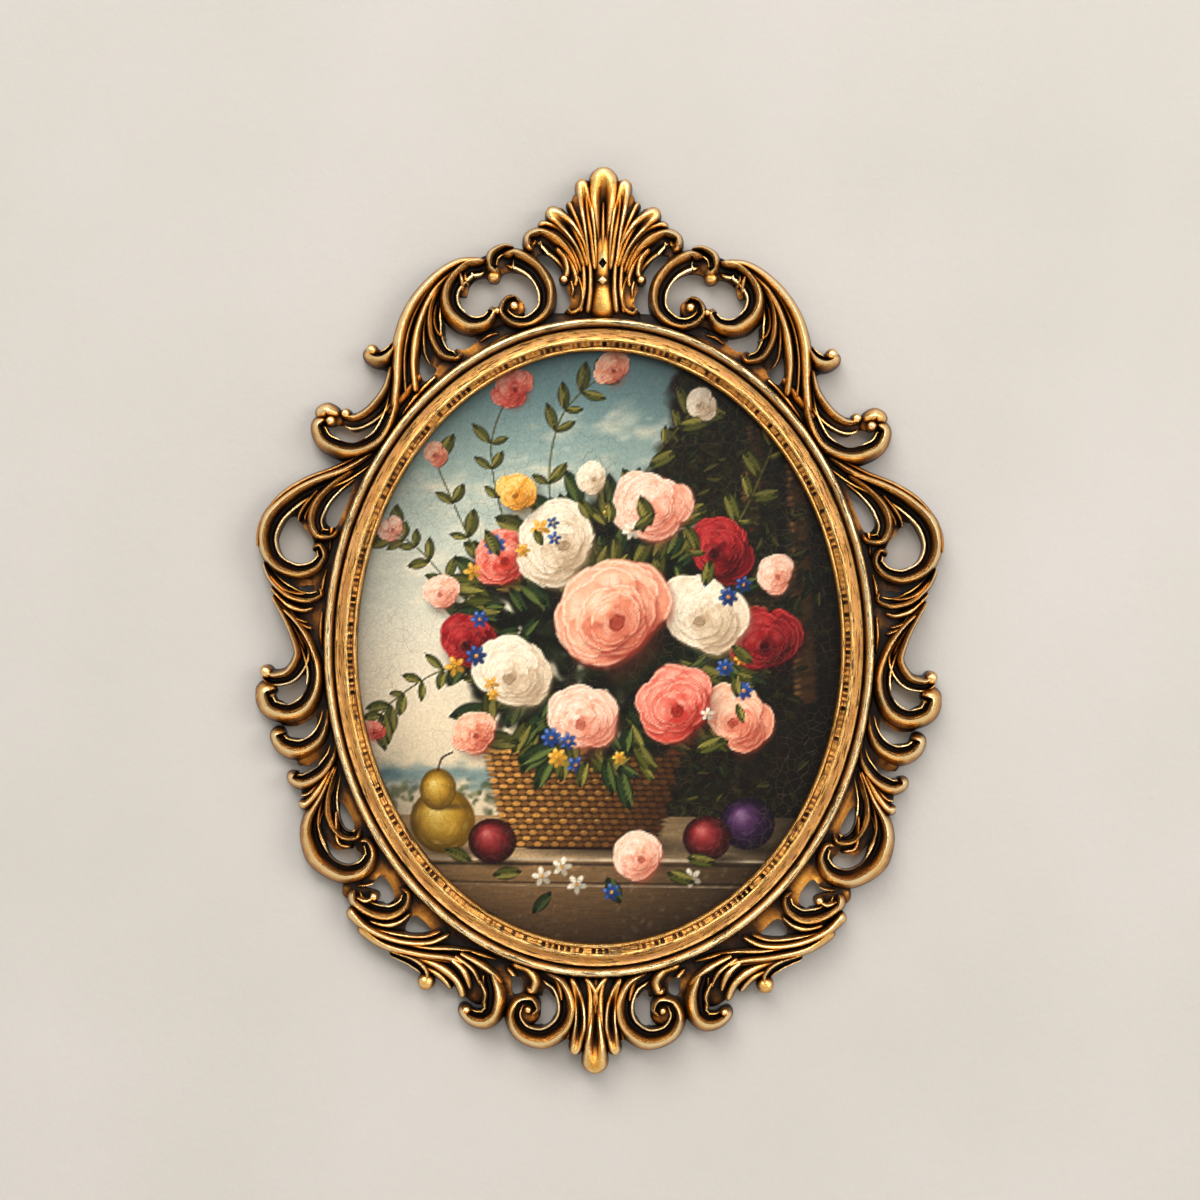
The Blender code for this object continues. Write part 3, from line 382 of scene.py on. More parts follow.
# Outlines of the pierced openings
OPENINGS = (
    ((24.6, 157.2), (20.5, 157), (16.2, 152), (16.2, 147), (12.6, 142.5), (11.3, 138), (13.5, 134.4),
     (16.8, 135), (17.1, 143), (19.4, 149.4), (24, 154.4)),
    ((45.6, 147.8), (43.6, 145.9), (40.6, 145.9), (38.6, 149.4), (35, 150.2), (30, 149), (26, 145.4),
     (24.4, 140), (26, 135.4), (29.8, 133), (30.2, 137.6), (35, 140.8), (39, 138.6), (41, 135.6),
     (44, 136.6), (46.6, 134.6), (47.4, 132.2), (52.6, 132.6), (55, 137), (56.4, 140.3), (53.4, 140.2),
     (52, 144.4), (49, 147)),
    ((62.8, 130.6), (58, 126), (49, 123.3), (50, 121), (54.5, 118.7), (58.8, 120.8), (59.8, 124.6)),
    ((71.5, 117), (69, 113.6), (65, 110.6), (69.5, 106), (72.2, 110)),
    ((42.2, 125.7), (40, 128.4), (38.8, 127.2)),
    ((107, 86.8), (103, 88), (98, 85.4), (93, 87), (89, 88.8), (91.5, 84.4), (98, 81), (104.6, 82.6)),
    ((122, 50.4), (126.6, 47.4), (128.8, 41), (126, 34.6), (118.6, 32.4), (115.6, 35.4), (115.4, 39.4),
     (114.2, 41), (117.4, 46)),
    ((98.4, 64), (104, 60.6), (109, 54), (109.6, 49), (106, 47), (103, 52)),
    ((121, 23), (114.4, 23.8), (114.6, 21.6), (118, 21.4)),
    ((128, -17.6), (122, -15.8), (118.2, -12), (117, -17), (120, -21.4), (125, -24), (129, -21),
     (127.4, -19)),
    ((123.6, -34), (118, -31.4), (113.6, -28.6), (113.6, -33.4), (118, -37.7), (122.4, -36.6)),
    ((120.6, -49), (116, -48), (111.4, -45.6), (113, -49), (118, -51.3)),
    ((109.5, -78), (105, -82), (99, -81.8), (95.3, -83.8), (97, -87), (102, -88), (107.4, -84.8)),
    ((103.4, -62.4), (98.6, -70), (98.6, -74.4), (102, -73.4), (104.2, -68)),
    ((94.4, -97), (90.6, -95.4), (87.4, -92), (83, -96.8), (82.2, -101.6), (86, -104), (88.6, -99)),
    ((73.4, -108), (67.2, -113.8), (71, -115.4), (77.4, -115), (77, -111.6)),
    ((21.6, -137), (18, -140.6), (17.4, -145), (19.4, -150.4), (22.5, -152), (23.4, -148.4), (23, -142)),
    ((35, -131.8), (31, -133.2), (31, -138.6), (34.6, -139.4)),
)


@dataclass(frozen=True)
class Oval:
    """An oval opening, in metres, that offset lines are drawn round."""

    half_width: float
    half_height: float

    def at(self, angle: float, offset: float = 0.0) -> Point:
        """Returns x and z of the point that lies offset outside the oval, at this angle.

        Args:
            angle: Angle round the oval, in radians from +X.
            offset: Distance outside the oval, in metres.

        Returns:
            The point's x and z, in metres.
        """
        across, upward = math.cos(angle) / self.half_width, math.sin(angle) / self.half_height
        length = math.hypot(across, upward)
        x = self.half_width * math.cos(angle) + offset * across / length
        z = self.half_height * math.sin(angle) + offset * upward / length
        return x, z

    def even_angles(self, count: int) -> list[float]:
        """Returns the angles of points that lie evenly spaced round the oval."""
        fine = 20 * count
        angles = np.linspace(0.0, math.tau, fine + 1)
        xs, zs = self.half_width * np.cos(angles), self.half_height * np.sin(angles)
        travelled = np.concatenate([[0.0], np.cumsum(np.hypot(np.diff(xs), np.diff(zs)))])
        wanted = np.arange(count) * travelled[-1] / count
        return [float(angle) for angle in np.interp(wanted, travelled, angles)]


def deselect() -> None:
    """Leaves no object selected and none in edit mode."""
    if bpy.context.object and bpy.context.object.mode != "OBJECT":
        bpy.ops.object.mode_set(mode="OBJECT")
    bpy.ops.object.select_all(action="DESELECT")


def choose(piece: Piece) -> None:
    """Makes a piece the only selected object and the active one."""
    deselect()
    piece.select_set(True)
    bpy.context.view_layer.objects.active = piece


def points_of(piece: Piece) -> np.ndarray:
    """Returns the points of a piece's mesh, one row each."""
    points = np.empty(len(piece.data.vertices) * 3, np.float32)
    piece.data.vertices.foreach_get("co", points)
    return points.reshape(-1, 3)


def mesh_object(name: str, points: Sequence, faces: Sequence) -> Piece:
    """Makes an object from points and faces, with its faces turned outwards.

    Args:
        name: The object's name.
        points: Corners in metres.
        faces: Tuples of corner numbers.

    Returns:
        The new object, linked to the scene.
    """
    mesh = bpy.data.meshes.new(name)
    mesh.from_pydata(points, [], faces)
    shape = bmesh.new()
    shape.from_mesh(mesh)
    bmesh.ops.recalc_face_normals(shape, faces=shape.faces)
    shape.to_mesh(mesh)
    shape.free()
    made = bpy.data.objects.new(name, mesh)
    bpy.context.scene.collection.objects.link(made)
    return made


def tube(name: str, rings: Sequence, looped: bool = False) -> Piece:
    """Makes a closed body through rings of points.

    Args:
        name: The object's name.
        rings: Rings of as many points each, in metres.
        looped: Whether the last ring joins the first, or both get a cap.

    Returns:
        The new object.
    """
    rings = np.array(rings)
    count, sides = rings.shape[:2]
    faces = []
    for row in range(count if looped else count - 1):
        here, there = row * sides, (row + 1) % count * sides
        for side in range(sides):
            after = (side + 1) % sides
            faces.append((here + side, here + after, there + after, there + side))
    if not looped:
        faces += [tuple(range(sides)), tuple(range((count - 1) * sides, count * sides))]
    return mesh_object(name, rings.reshape(-1, 3).tolist(), faces)


def spline(points: Sequence[Point], steps: int, closed: bool = False) -> np.ndarray:
    """Draws a smooth line through points.

    Args:
        points: The points that the line passes through.
        steps: Steps from each point to the next.
        closed: Whether the line returns to its first point.

    Returns:
        An array of points along the line.
    """
    given = np.array(points, float)
    count = len(given)
    numbers = np.arange(count if closed else count - 1)[:, None] + np.array([-1, 0, 1, 2])
    numbers = numbers % count if closed else np.clip(numbers, 0, count - 1)
    a, b, c, d = (given[numbers[:, place]][:, None, :] for place in range(4))
    t = (np.arange(steps) / steps)[None, :, None]
    bow = (2 * a - 5 * b + 4 * c - d) * t ** 2 + (3 * b - a - 3 * c + d) * t ** 3
    line = (0.5 * (2 * b + (c - a) * t + bow)).reshape(-1, 2)
    return line if closed else np.vstack([line, given[-1]])


def blend(values: Row, share: np.ndarray) -> np.ndarray:
    """Returns evenly spaced values, read at shares from 0 to 1 of the way along them."""
    return np.interp(share, np.linspace(0.0, 1.0, len(values)), values)


def boolean(target: Piece, operation: str, other: Piece | bpy.types.Collection) -> None:
    """Joins or cuts a piece and applies it at once.

    The manifold solver is used, because the exact one loses the carving: tight curls overlap themselves.

    Args:
        target: The piece that is changed.
        operation: "UNION" or "DIFFERENCE".
        other: One closed body, or a collection of them. They are removed afterwards.
    """
    step = target.modifiers.new(operation.lower(), "BOOLEAN")
    step.operation = operation
    step.solver = "MANIFOLD"
    if isinstance(other, bpy.types.Collection):
        step.operand_type = "COLLECTION"
        step.collection = other
        used = list(other.objects)
    else:
        step.object = other
        used = [other]
    choose(target)
    bpy.ops.object.modifier_apply(modifier=step.name)
    for helper in used:
        bpy.data.objects.remove(helper)
    if isinstance(other, bpy.types.Collection):
        bpy.data.collections.remove(other)


def gathered(name: str, members: Iterable[Piece]) -> bpy.types.Collection:
    """Puts helper bodies in a collection of their own, for a Boolean that takes them all."""
    made = bpy.data.collections.new(name)
    bpy.context.scene.collection.children.link(made)
    for member in members:
        bpy.context.scene.collection.objects.unlink(member)
        made.objects.link(member)
    return made


@dataclass
class Moulding:
    """The oval moulding round the picture, in millimetres out from the sight edge and up from the wall."""

    oval: Oval
    seat: float
    rebate: float = 5.5
    width: float = 13.1
    pits: int = 276
    stations_a_pit: int = 4
    pit_depth: float = 1.7
    lip: Line = ((0, 8.2), (0.15, 9.3), (0.45, 10), (0.9, 10.35), (1.35, 10.3), (1.65, 9.95), (1.85, 9.75))
    pit_row: Line = ((1.95, 9.9), (2.15, 10.2), (3.6, 10.8), (3.8, 10.9))
    band: Line = (
        (4.05, 11.2), (4.5, 11.45), (5, 11.35), (5.7, 11), (6.5, 10.75), (7.4, 10.65), (8.1, 10.8),
        (8.6, 11), (8.95, 10.7), (9.2, 9.7), (9.45, 9.1), (9.7, 9.9),
    )
    torus: Line = ((9.9, 11.4), (10.3, 12.8), (10.8, 13.6), (11.5, 14), (12.2, 13.8), (12.7, 13.1), (13, 12))

    def profile(self, pit: float) -> list[Point]:
        """Returns the closed profile where the pits are this deep, as (out, up) in millimetres."""
        row = [self.pit_row[0], *((out, up - pit) for out, up in self.pit_row[1:3]), self.pit_row[3]]
        front = [(0.0, self.seat), *self.lip, *row, *self.band, *self.torus]
        return [*front, (self.width, -2.0), (self.rebate, -2.0), (self.rebate, self.seat)]

    def build(self) -> Piece:
        """Sweeps the profile round the oval, with a pit and a bridge in turn along the inner row."""
        rng = np.random.default_rng(7)
        cuts = rng.uniform(0.15, 1.3, self.pits)
        count = self.pits * self.stations_a_pit
        rings = []
        for number, angle in enumerate(self.oval.even_angles(count)):
            pit, step = divmod(number, self.stations_a_pit)
            worn = 0.62 + 0.38 * math.sin(5 * angle) * math.sin(13 * angle + 1)
            cut = self.pit_depth * worn * cuts[pit]
            depth = rng.uniform(0.0, 0.3) if step < 2 else cut * rng.uniform(0.7, 1.2)
            ring = []
            for out, up in self.profile(depth):
                x, z = self.oval.at(angle, out * MM)
                ring.append((x, -up * MM, z))
            rings.append(ring)
        return tube("moulding", rings, looped=True)


@dataclass
class Casting:
    """The frame: one casting of the moulding and the pierced scrollwork round it."""

    oval: Oval
    seat: float
    low: Vector
    high: Vector
    drawn: tuple = (CREST, LOOP, ARM, SHOULDER, WING, SIDE_SCROLLS, ACANTHUS, FOOT, EDGE_LEAVES, FLOOR)
    drawn_half_width: float = 109.7
    drawn_half_height: float = 131.5
    lean: float = 0.0097
    tuck: float = 1
    overrun: float = 2
    reach: float = 50
    tallest: float = 15
    station_length: float = 3.2
    station_turn: float = math.radians(13)
    tip_stations: float = 3
    smooth_under: float = math.radians(38)
    prism_sides: int = 256
    tip_width: float = 0.3
    tip_height: float = 0.62
    bend_filled: float = 0.85
    flatness: float = 1e-6
    knob_profile: Line = ((1, 0.5), (0.96, 0.68), (0.84, 0.83), (0.64, 0.93), (0.4, 0.985), (0.14, 1))

    def place(self, out: np.ndarray, up: np.ndarray, rise: np.ndarray, side: int, lean: float) -> np.ndarray:
        """Turns points of the drawing into points of the model.

        Args:
            out: Distances out from the axis, in millimetres.
            up: Heights up from the oval's centre, in millimetres.
            rise: Heights above the wall, in millimetres.
            side: 1 for the right half, -1 for the left.
            lean: How far the drawing leans sideways for each millimetre up.

        Returns:
            An array of points in metres, whose last axis holds x, y and z.
        """
        wide = (self.oval.half_width / MM + self.moulding_width) / self.drawn_half_width
        tall = (self.oval.half_height / MM + self.moulding_width) / self.drawn_half_height
        out, up, rise = np.broadcast_arrays(out, up, rise)
        return np.stack([side * (out + lean * up) * wide, -rise, up * tall], axis=-1) * MM

    @property
    def moulding_width(self) -> float:
        """Width of the moulding that the carving starts from, in millimetres."""
        return Moulding(self.oval, self.seat).width

    def stations(self, line: np.ndarray, tip: float) -> np.ndarray:
        """Picks the numbers of the line's points where a stroke's facets meet, closer where it bends."""
        ways = np.diff(line, axis=0)
        lengths = np.hypot(ways[:, 0], ways[:, 1])
        heading = np.unwrap(np.arctan2(ways[:, 1], ways[:, 0]))
        turns = np.abs(np.diff(heading, prepend=heading[0]))
        total = lengths.sum()
        travelled = np.concatenate([[0.0], np.cumsum(lengths)])
        near_tip = np.minimum(travelled[:-1], total - travelled[:-1]) < tip
        closer = np.where(near_tip, self.tip_stations, 1.0)
        owed = np.cumsum(turns / self.station_turn + lengths / self.station_length * closer)
        chosen = np.flatnonzero(np.diff(np.floor(owed), prepend=-1.0) > 0)
        return np.unique(np.concatenate([[0], chosen, [len(line) - 1]]))

    def stroke(self, name: str, stroke: Stroke, side: int, lean: float) -> Piece:
        """Makes one stroke as a closed body, rounded off at both ends.

        Args:
            name: The body's name.
            stroke: What is drawn.
            side: 1 for the right half, -1 for the left.
            lean: How far the drawing leans.

        Returns:
            The body, which runs past the wall plane.
        """
        line = spline(stroke.crest, 40)
        ways = np.gradient(line, axis=0)
        lengths = np.hypot(ways[:, 0], ways[:, 1])
        heading = np.unwrap(np.arctan2(ways[:, 1], ways[:, 0]))
        travelled = np.concatenate([[0.0], np.cumsum(np.hypot(*np.diff(line, axis=0).T))])
        bend = np.gradient(heading) / lengths
        rows = self.stations(line, max(stroke.outer[0], stroke.outer[-1]))
        cove = 1.0 if (heading[-1] >= heading[0]) != stroke.turned else -1.0
        share = travelled[rows] / travelled[-1]
        wide, narrow = blend(stroke.outer, share), blend(stroke.inner or stroke.outer, share)
        height = blend(stroke.height, share)
        cut = blend(stroke.cut, share)[:, None]
        to_end = np.minimum(travelled[rows], travelled[-1] - travelled[rows])
        near = np.minimum(to_end / ((wide + narrow) / 2), 1.0)
        swell = np.sqrt(1 - (1 - near) ** 2)
        inward = np.maximum(bend[rows] * cove, 1e-6)
        narrow = np.minimum(narrow, self.bend_filled / inward)
        shape = np.array(stroke.section.value, float)
        places, levels = np.tile(shape[:, 0], (len(rows), 1)), np.tile(shape[:, 1], (len(rows), 1))
        if stroke.section is not Section.PLATE:
            plain = np.array(Section.RIB.value, float)
            places = plain[:, 0] + (places - plain[:, 0]) * cut
            levels = plain[:, 1] + (levels - plain[:, 1]) * cut
        width = np.where(places < 0, narrow[:, None], wide[:, None])
        width = width * (self.tip_width + (1 - self.tip_width) * swell)[:, None]
        tops = (height * (self.tip_height + (1 - self.tip_height) * swell))[:, None]
        rises = np.where(np.isnan(levels), -self.overrun, levels * np.minimum(tops, self.tallest))
        normals = np.stack([-ways[rows, 1], ways[rows, 0]], axis=-1) * (cove / lengths[rows])[:, None]
        out = line[rows, 0][:, None] - normals[:, 0][:, None] * places * width
        up = line[rows, 1][:, None] - normals[:, 1][:, None] * places * width
        return tube(name, self.place(out, up, rises, side, lean))

    def knob(self, name: str, knob: Knob, side: int, lean: float) -> Piece:
        """Makes a dome as a closed body that runs past the wall plane."""
        angles = np.arange(knob.sides) * math.tau / knob.sides
        rings = []
        for radius, rise in ((1.0, None), *self.knob_profile):
            height = -self.overrun if rise is None else rise * knob.height
            out = knob.centre[0] + knob.radius * radius * np.cos(angles)
            up = knob.centre[1] + knob.radius * radius * np.sin(angles)
            rings.append(self.place(out, up, height, side, lean))
        return tube(name, rings)

    def opening(self, name: str, outline: Sequence[Point], side: int) -> Piece:
        """Makes the cutter of one pierced opening."""
        line = spline(outline, 7, closed=True)
        depths = (-self.reach, self.reach)
        rings = [self.place(line[:, 0], line[:, 1], depth, side, self.lean) for depth in depths]
        return tube(name, rings)

    def prism(self, name: str, offset: float, front: float, back: float) -> Piece:
        """Makes an oval block between two distances from the wall, in millimetres."""
        angles = [math.tau * step / self.prism_sides for step in range(self.prism_sides)]
        line = np.array([self.oval.at(angle, offset * MM) for angle in angles])
        depths = (np.full(len(line), -front * MM), np.full(len(line), -back * MM))
        rings = [np.stack([line[:, 0], depth, line[:, 1]], axis=-1) for depth in depths]
        return tube(name, rings)

    def bodies(self) -> list[Piece]:
        """Makes every stroke and knob of both halves and of the axis."""
        made = []
        for side in (1, -1):
            for group, part in enumerate(self.drawn):
                for number, item in enumerate(part):
                    made.append(self.body(f"stroke_{side}_{group}_{number}", item, side, self.lean))
        made += [self.body(f"axis_{number}", item, 1, 0.0) for number, item in enumerate(AXIAL)]
        return made

    def body(self, name: str, item: Stroke | Knob, side: int, lean: float) -> Piece:
        """Makes the body of a stroke or of a knob."""
        return (self.knob if isinstance(item, Knob) else self.stroke)(name, item, side, lean)

    def sunk(self, name: str, shape: Knob) -> Piece:
        """Makes the cutter of a lozenge that is sunk to its floor."""
        angles = np.arange(shape.sides) * math.tau / shape.sides
        out = shape.centre[0] + shape.radius * 0.8 * np.cos(angles)
        up = shape.centre[1] + shape.radius * np.sin(angles)
        rings = [self.place(out, up, depth, 1, 0.0) for depth in (shape.height, self.reach)]
        return tube(name, rings)

    def build(self) -> Piece:
        """Joins the strokes, pierces them, adds the moulding and cuts the back flat.

        Returns:
            The finished casting, one closed mesh.
        """
        bodies = self.bodies()
        casting = bodies.pop()
        casting.name = casting.data.name = "gilt_casting"
        boolean(casting, "UNION", gathered("strokes", bodies))
        boolean(casting, "DIFFERENCE",
                self.prism("inside", self.moulding_width - self.tuck, self.reach, -self.reach))
        cutters = [
            self.opening(f"opening_{side}_{number}", outline, side)
            for side in (1, -1)
            for number, outline in enumerate(OPENINGS)
        ]
        boolean(casting, "DIFFERENCE", gathered("openings", [*cutters, self.sunk("lozenge", LOZENGE)]))
        boolean(casting, "UNION", Moulding(self.oval, self.seat).build())
        boolean(casting, "DIFFERENCE", self.prism("behind", 300.0, 0.0, -self.reach))
        self.keep_main_body(casting)
        self.keep_in_box(casting)
        choose(casting)
        bpy.ops.object.shade_smooth_by_angle(angle=self.smooth_under)
        return casting

    def dress(self, casting: Piece) -> None:
        """Measures the casting's hollows and ridges and gives it its gold."""
        Relief(casting, self.oval).mark()
        casting.data.materials.clear()
        casting.data.materials.append(AntiqueGold().build())

    def keep_main_body(self, casting: Piece) -> None:
        """Drops slivers that a cut has left beside the casting."""
        shape = bmesh.new()
        shape.from_mesh(casting.data)
        bmesh.ops.triangulate(shape, faces=shape.faces, ngon_method="EAR_CLIP")
        todo, groups = set(shape.verts), []
        while todo:
            seeds, group = [todo.pop()], set()
            while seeds:
                vert = seeds.pop()
                group.add(vert)
                for edge in vert.link_edges:
                    other = edge.other_vert(vert)
                    if other in todo:
                        todo.discard(other)
                        seeds.append(other)
            groups.append(group)
        groups.sort(key=len)
        for group in groups[:-1]:
            bmesh.ops.delete(shape, geom=list(group), context="VERTS")
        LOG.info("casting: %d slivers dropped", len(groups) - 1)
        self.refill_back(shape)
        shape.to_mesh(casting.data)
        shape.free()

    def refill_back(self, shape: bmesh.types.BMesh) -> None:
        """Fills the flat back anew, because clipping ears folds a few triangles over its gaps."""
        flat = [face for face in shape.faces if all(abs(vert.co.y) < self.flatness for vert in face.verts)]
        bmesh.ops.delete(shape, geom=flat, context="FACES")
        rim = [edge for edge in shape.edges if all(abs(vert.co.y) < self.flatness for vert in edge.verts)]
        verts = list(dict.fromkeys(vert for edge in rim for vert in edge.verts))
        number = {vert: at for at, vert in enumerate(verts)}
        pairs = [tuple(number[vert] for vert in edge.verts) for edge in rim]
        spots, lines, faces, came_from, lines_from, _ = delaunay_2d_cdt(
            [vert.co.xz for vert in verts], pairs, [], 0, 0.0)
        corners = [verts[old[0]] if old else shape.verts.new((spot.x, 0.0, spot.y))
                   for spot, old in zip(spots, came_from)]
        middles = np.array(spots)[np.array(faces)].mean(axis=1)
        crossed = np.zeros(len(faces), int)
        for edge in rim:
            if len(edge.link_faces) % 2:
                (x0, z0), (x1, z1) = (vert.co.xz for vert in edge.verts)
                spans = (middles[:, 1] < z0) != (middles[:, 1] < z1)
                reach = x0 + (middles[:, 1] - z0) * (x1 - x0) / ((z1 - z0) or 1.0)
                crossed += spans & (middles[:, 0] < reach)
        self.split_rim(shape, rim, corners, lines, lines_from,
                       {verts[other]: verts[old[0]] for old in came_from for other in old[1:]})
        for face, times in zip(faces, crossed):
            if times % 2:
                shape.faces.new([corners[at] for at in reversed(face)])
        bmesh.ops.triangulate(shape, faces=[face for face in shape.faces if len(face.verts) > 3])

    def split_rim(self, shape: bmesh.types.BMesh, rim: list, corners: list, lines: list, lines_from: list,
                  welds: dict) -> None:
        """Splits the rim's edges where others meet them, so that the new back joins them all the way.

        Args:
            shape: The casting, without its flat back.
            rim: The edges round the back.
            corners: The vertices of the new back.
            lines: The new back's edges, as pairs of corner numbers.
            lines_from: For each of them, the numbers of the rim's edges that it lies on.
            welds: Vertices that become another one. The new ones are added to it.
        """
        touched: list[set] = [set() for _ in rim]
        for line, owners in zip(lines, lines_from):
            for owner in owners:
                if owner < len(rim):
                    touched[owner].update(corners[at] for at in line)
        for edge, found in zip(rim, touched):
            near, end = edge.verts
            inner = found - {near, end, welds.get(near), welds.get(end)}
            for vert in sorted(inner, key=lambda vert, start=near.co.copy(): (vert.co - start).length):
                share = (vert.co - near.co).length / max((end.co - near.co).length, self.flatness)
                _, near = bmesh.utils.edge_split(edge, near, min(share, 1.0))
                welds[near] = vert
        LOG.info("casting: %d corners of the flat back joined", len(welds))
        bmesh.ops.weld_verts(shape, targetmap=welds)

    def keep_in_box(self, casting: Piece) -> None:
        """Draws in the outermost tips by the last tenths of a millimetre, to the solid's own box."""
        points = np.clip(points_of(casting), np.array(self.low), np.array(self.high))
        casting.data.vertices.foreach_set("co", points.astype(np.float32).ravel())
        casting.data.update()


@dataclass
class Relief:
    """Reads how the casting's surface lies: its gold pales on ridges, for wear and a painted highlight, and
    darkens in hollows, for wash and painted shade.
    """

    casting: Piece
    oval: Oval
    cell: float = 0.5
    directions: int = 16
    distances: tuple[float, ...] = (0.5, 1, 1.6, 2.4, 3.4, 4.8, 6.6)
    ridge_radius: int = 3
    ridge_height: float = 1.4
    margin: float = 10
    ray_start: float = 0.1

    def height_map(self) -> tuple[np.ndarray, np.ndarray]:
        """Casts rays from the front onto the casting.

        Returns:
            Heights in millimetres, 0 where there is no casting, and the x and z of the first cell.
        """
        tree = BVHTree.FromObject(self.casting, bpy.context.evaluated_depsgraph_get())
        points = points_of(self.casting).astype(float)[:, [0, 2]]
        low, high = points.min(0), points.max(0)
        start = low - self.margin * MM
        columns, lines = ((high - low + 2 * self.margin * MM) / (self.cell * MM)).astype(int)
        heights = np.zeros((columns, lines))
        ahead = Vector((0.0, 1.0, 0.0))
        for column in range(columns):
            x = start[0] + column * self.cell * MM
            for line in range(lines):
                hit = tree.ray_cast(Vector((x, -self.ray_start, start[1] + line * self.cell * MM)), ahead)
                if hit[0] is not None:
                    heights[column, line] = -hit[0].y / MM
        return heights, start

    def mark(self) -> None:
        """Writes the attributes hollow (1 deep in a recess), ridge (1 on a crest) and out (see outside)."""
        heights, start = self.height_map()
        points = points_of(self.casting) / MM
        count, own = len(points), -points[:, 1]
        start = start / MM

        def level(shift_x: float, shift_z: float) -> np.ndarray:
            """Returns the height of the map beside each vertex."""
            column = np.rint((points[:, 0] + shift_x - start[0]) / self.cell).astype(int)
            line = np.rint((points[:, 2] + shift_z - start[1]) / self.cell).astype(int)
            return heights[np.clip(column, 0, heights.shape[0] - 1), np.clip(line, 0, heights.shape[1] - 1)]

        open_sky = np.zeros(count)
        for step in range(self.directions):
            angle = math.tau * step / self.directions
            steepest = np.zeros(count)
            for distance in self.distances:
                rise = level(distance * math.cos(angle), distance * math.sin(angle)) - own
                steepest = np.maximum(steepest, rise / np.hypot(rise, distance))
            open_sky += (1 - steepest) / self.directions
        total, weight = np.zeros(count), np.zeros(count)
        reach = self.ridge_radius * self.cell
        for step in range(self.directions):
            angle = math.tau * step / self.directions
            beside = level(reach * math.cos(angle), reach * math.sin(angle))
            total += np.where(beside > 0, beside, 0)
            weight += beside > 0
        ridge = own - total / np.maximum(weight, 1)
        # hollow is how little open sky a point sees: the gold's colour darkens with it, for the brown wash
        # and painted shade, and pales with ridge, for rubbed wear and a painted highlight
        self.write("out", self.outside(points * MM))
        self.write("hollow", 1 - open_sky)
        self.write("ridge", np.clip(ridge / self.ridge_height, 0, 1))

    def outside(self, points: np.ndarray) -> np.ndarray:
        """Returns roughly how far each point lies outside the sight edge, in metres."""
        across, upward = points[:, 0], points[:, 2]
        far = np.hypot(across / self.oval.half_width, upward / self.oval.half_height)
        slope = np.hypot(across / self.oval.half_width ** 2, upward / self.oval.half_height ** 2) / far
        return (far - 1) / slope

    def write(self, name: str, values: np.ndarray) -> None:
        """Stores one value for each vertex under a name that the finish reads."""
        made = self.casting.data.attributes.new(name, "FLOAT", "POINT")
        made.data.foreach_set("value", values.astype(np.float32))


class Graph:
    """A node tree that is filled node by node."""

    def __init__(self, owner: bpy.types.Material | bpy.types.World) -> None:
        """Starts an empty tree for a material or a world."""
        owner.use_nodes = True
        self.tree = owner.node_tree
        self.tree.nodes.clear()

    def add(self, kind: str, sockets: dict | Sequence = (), out: int | str = 0,
            stops: Stops = (), **settings: object) -> Socket | None:
        """Adds a node with its settings and links.

        Args:
            kind: The node's type, without "ShaderNode".
            sockets: What the inputs take, in their order or by name or number: values or linked outputs.
            out: The output that is wanted, by name or number.
            stops: A colour ramp's places from 0 to 1, each with its hex colour.
            settings: Properties of the node.

        Returns:
            The wanted output, or None for a node that has none.
        """
        node = self.tree.nodes.new("ShaderNode" + kind)
        for name, value in settings.items():
            setattr(node, name, value)
        for place, value in sockets.items() if isinstance(sockets, dict) else enumerate(sockets):
            if isinstance(value, Socket):
                self.tree.links.new(value, node.inputs[place])
            else:
                node.inputs[place].default_value = value
        for place, code in stops[1:-1]:
            node.color_ramp.elements.new(place).color = linear(code)
        for end in (0, -1) if stops else ():
            node.color_ramp.elements[end].position = stops[end][0]
            node.color_ramp.elements[end].color = linear(stops[end][1])
        return node.outputs[out] if node.outputs else None


def per_metre(size: float) -> float:
    """Returns the scale that gives a pattern features of this size in millimetres."""
    return 1 / (size * MM)


@dataclass(frozen=True)
class Finish:
    """A material, whose patterns are laid out on the object's own coordinates."""

    name: str

    def build(self) -> bpy.types.Material:
        """Returns the material."""
        material = bpy.data.materials.new(self.name)
        g = Graph(material)
        g.add("OutputMaterial", {"Surface": self.skin(g, g.add("TexCoord", out="Object"))})
        return material


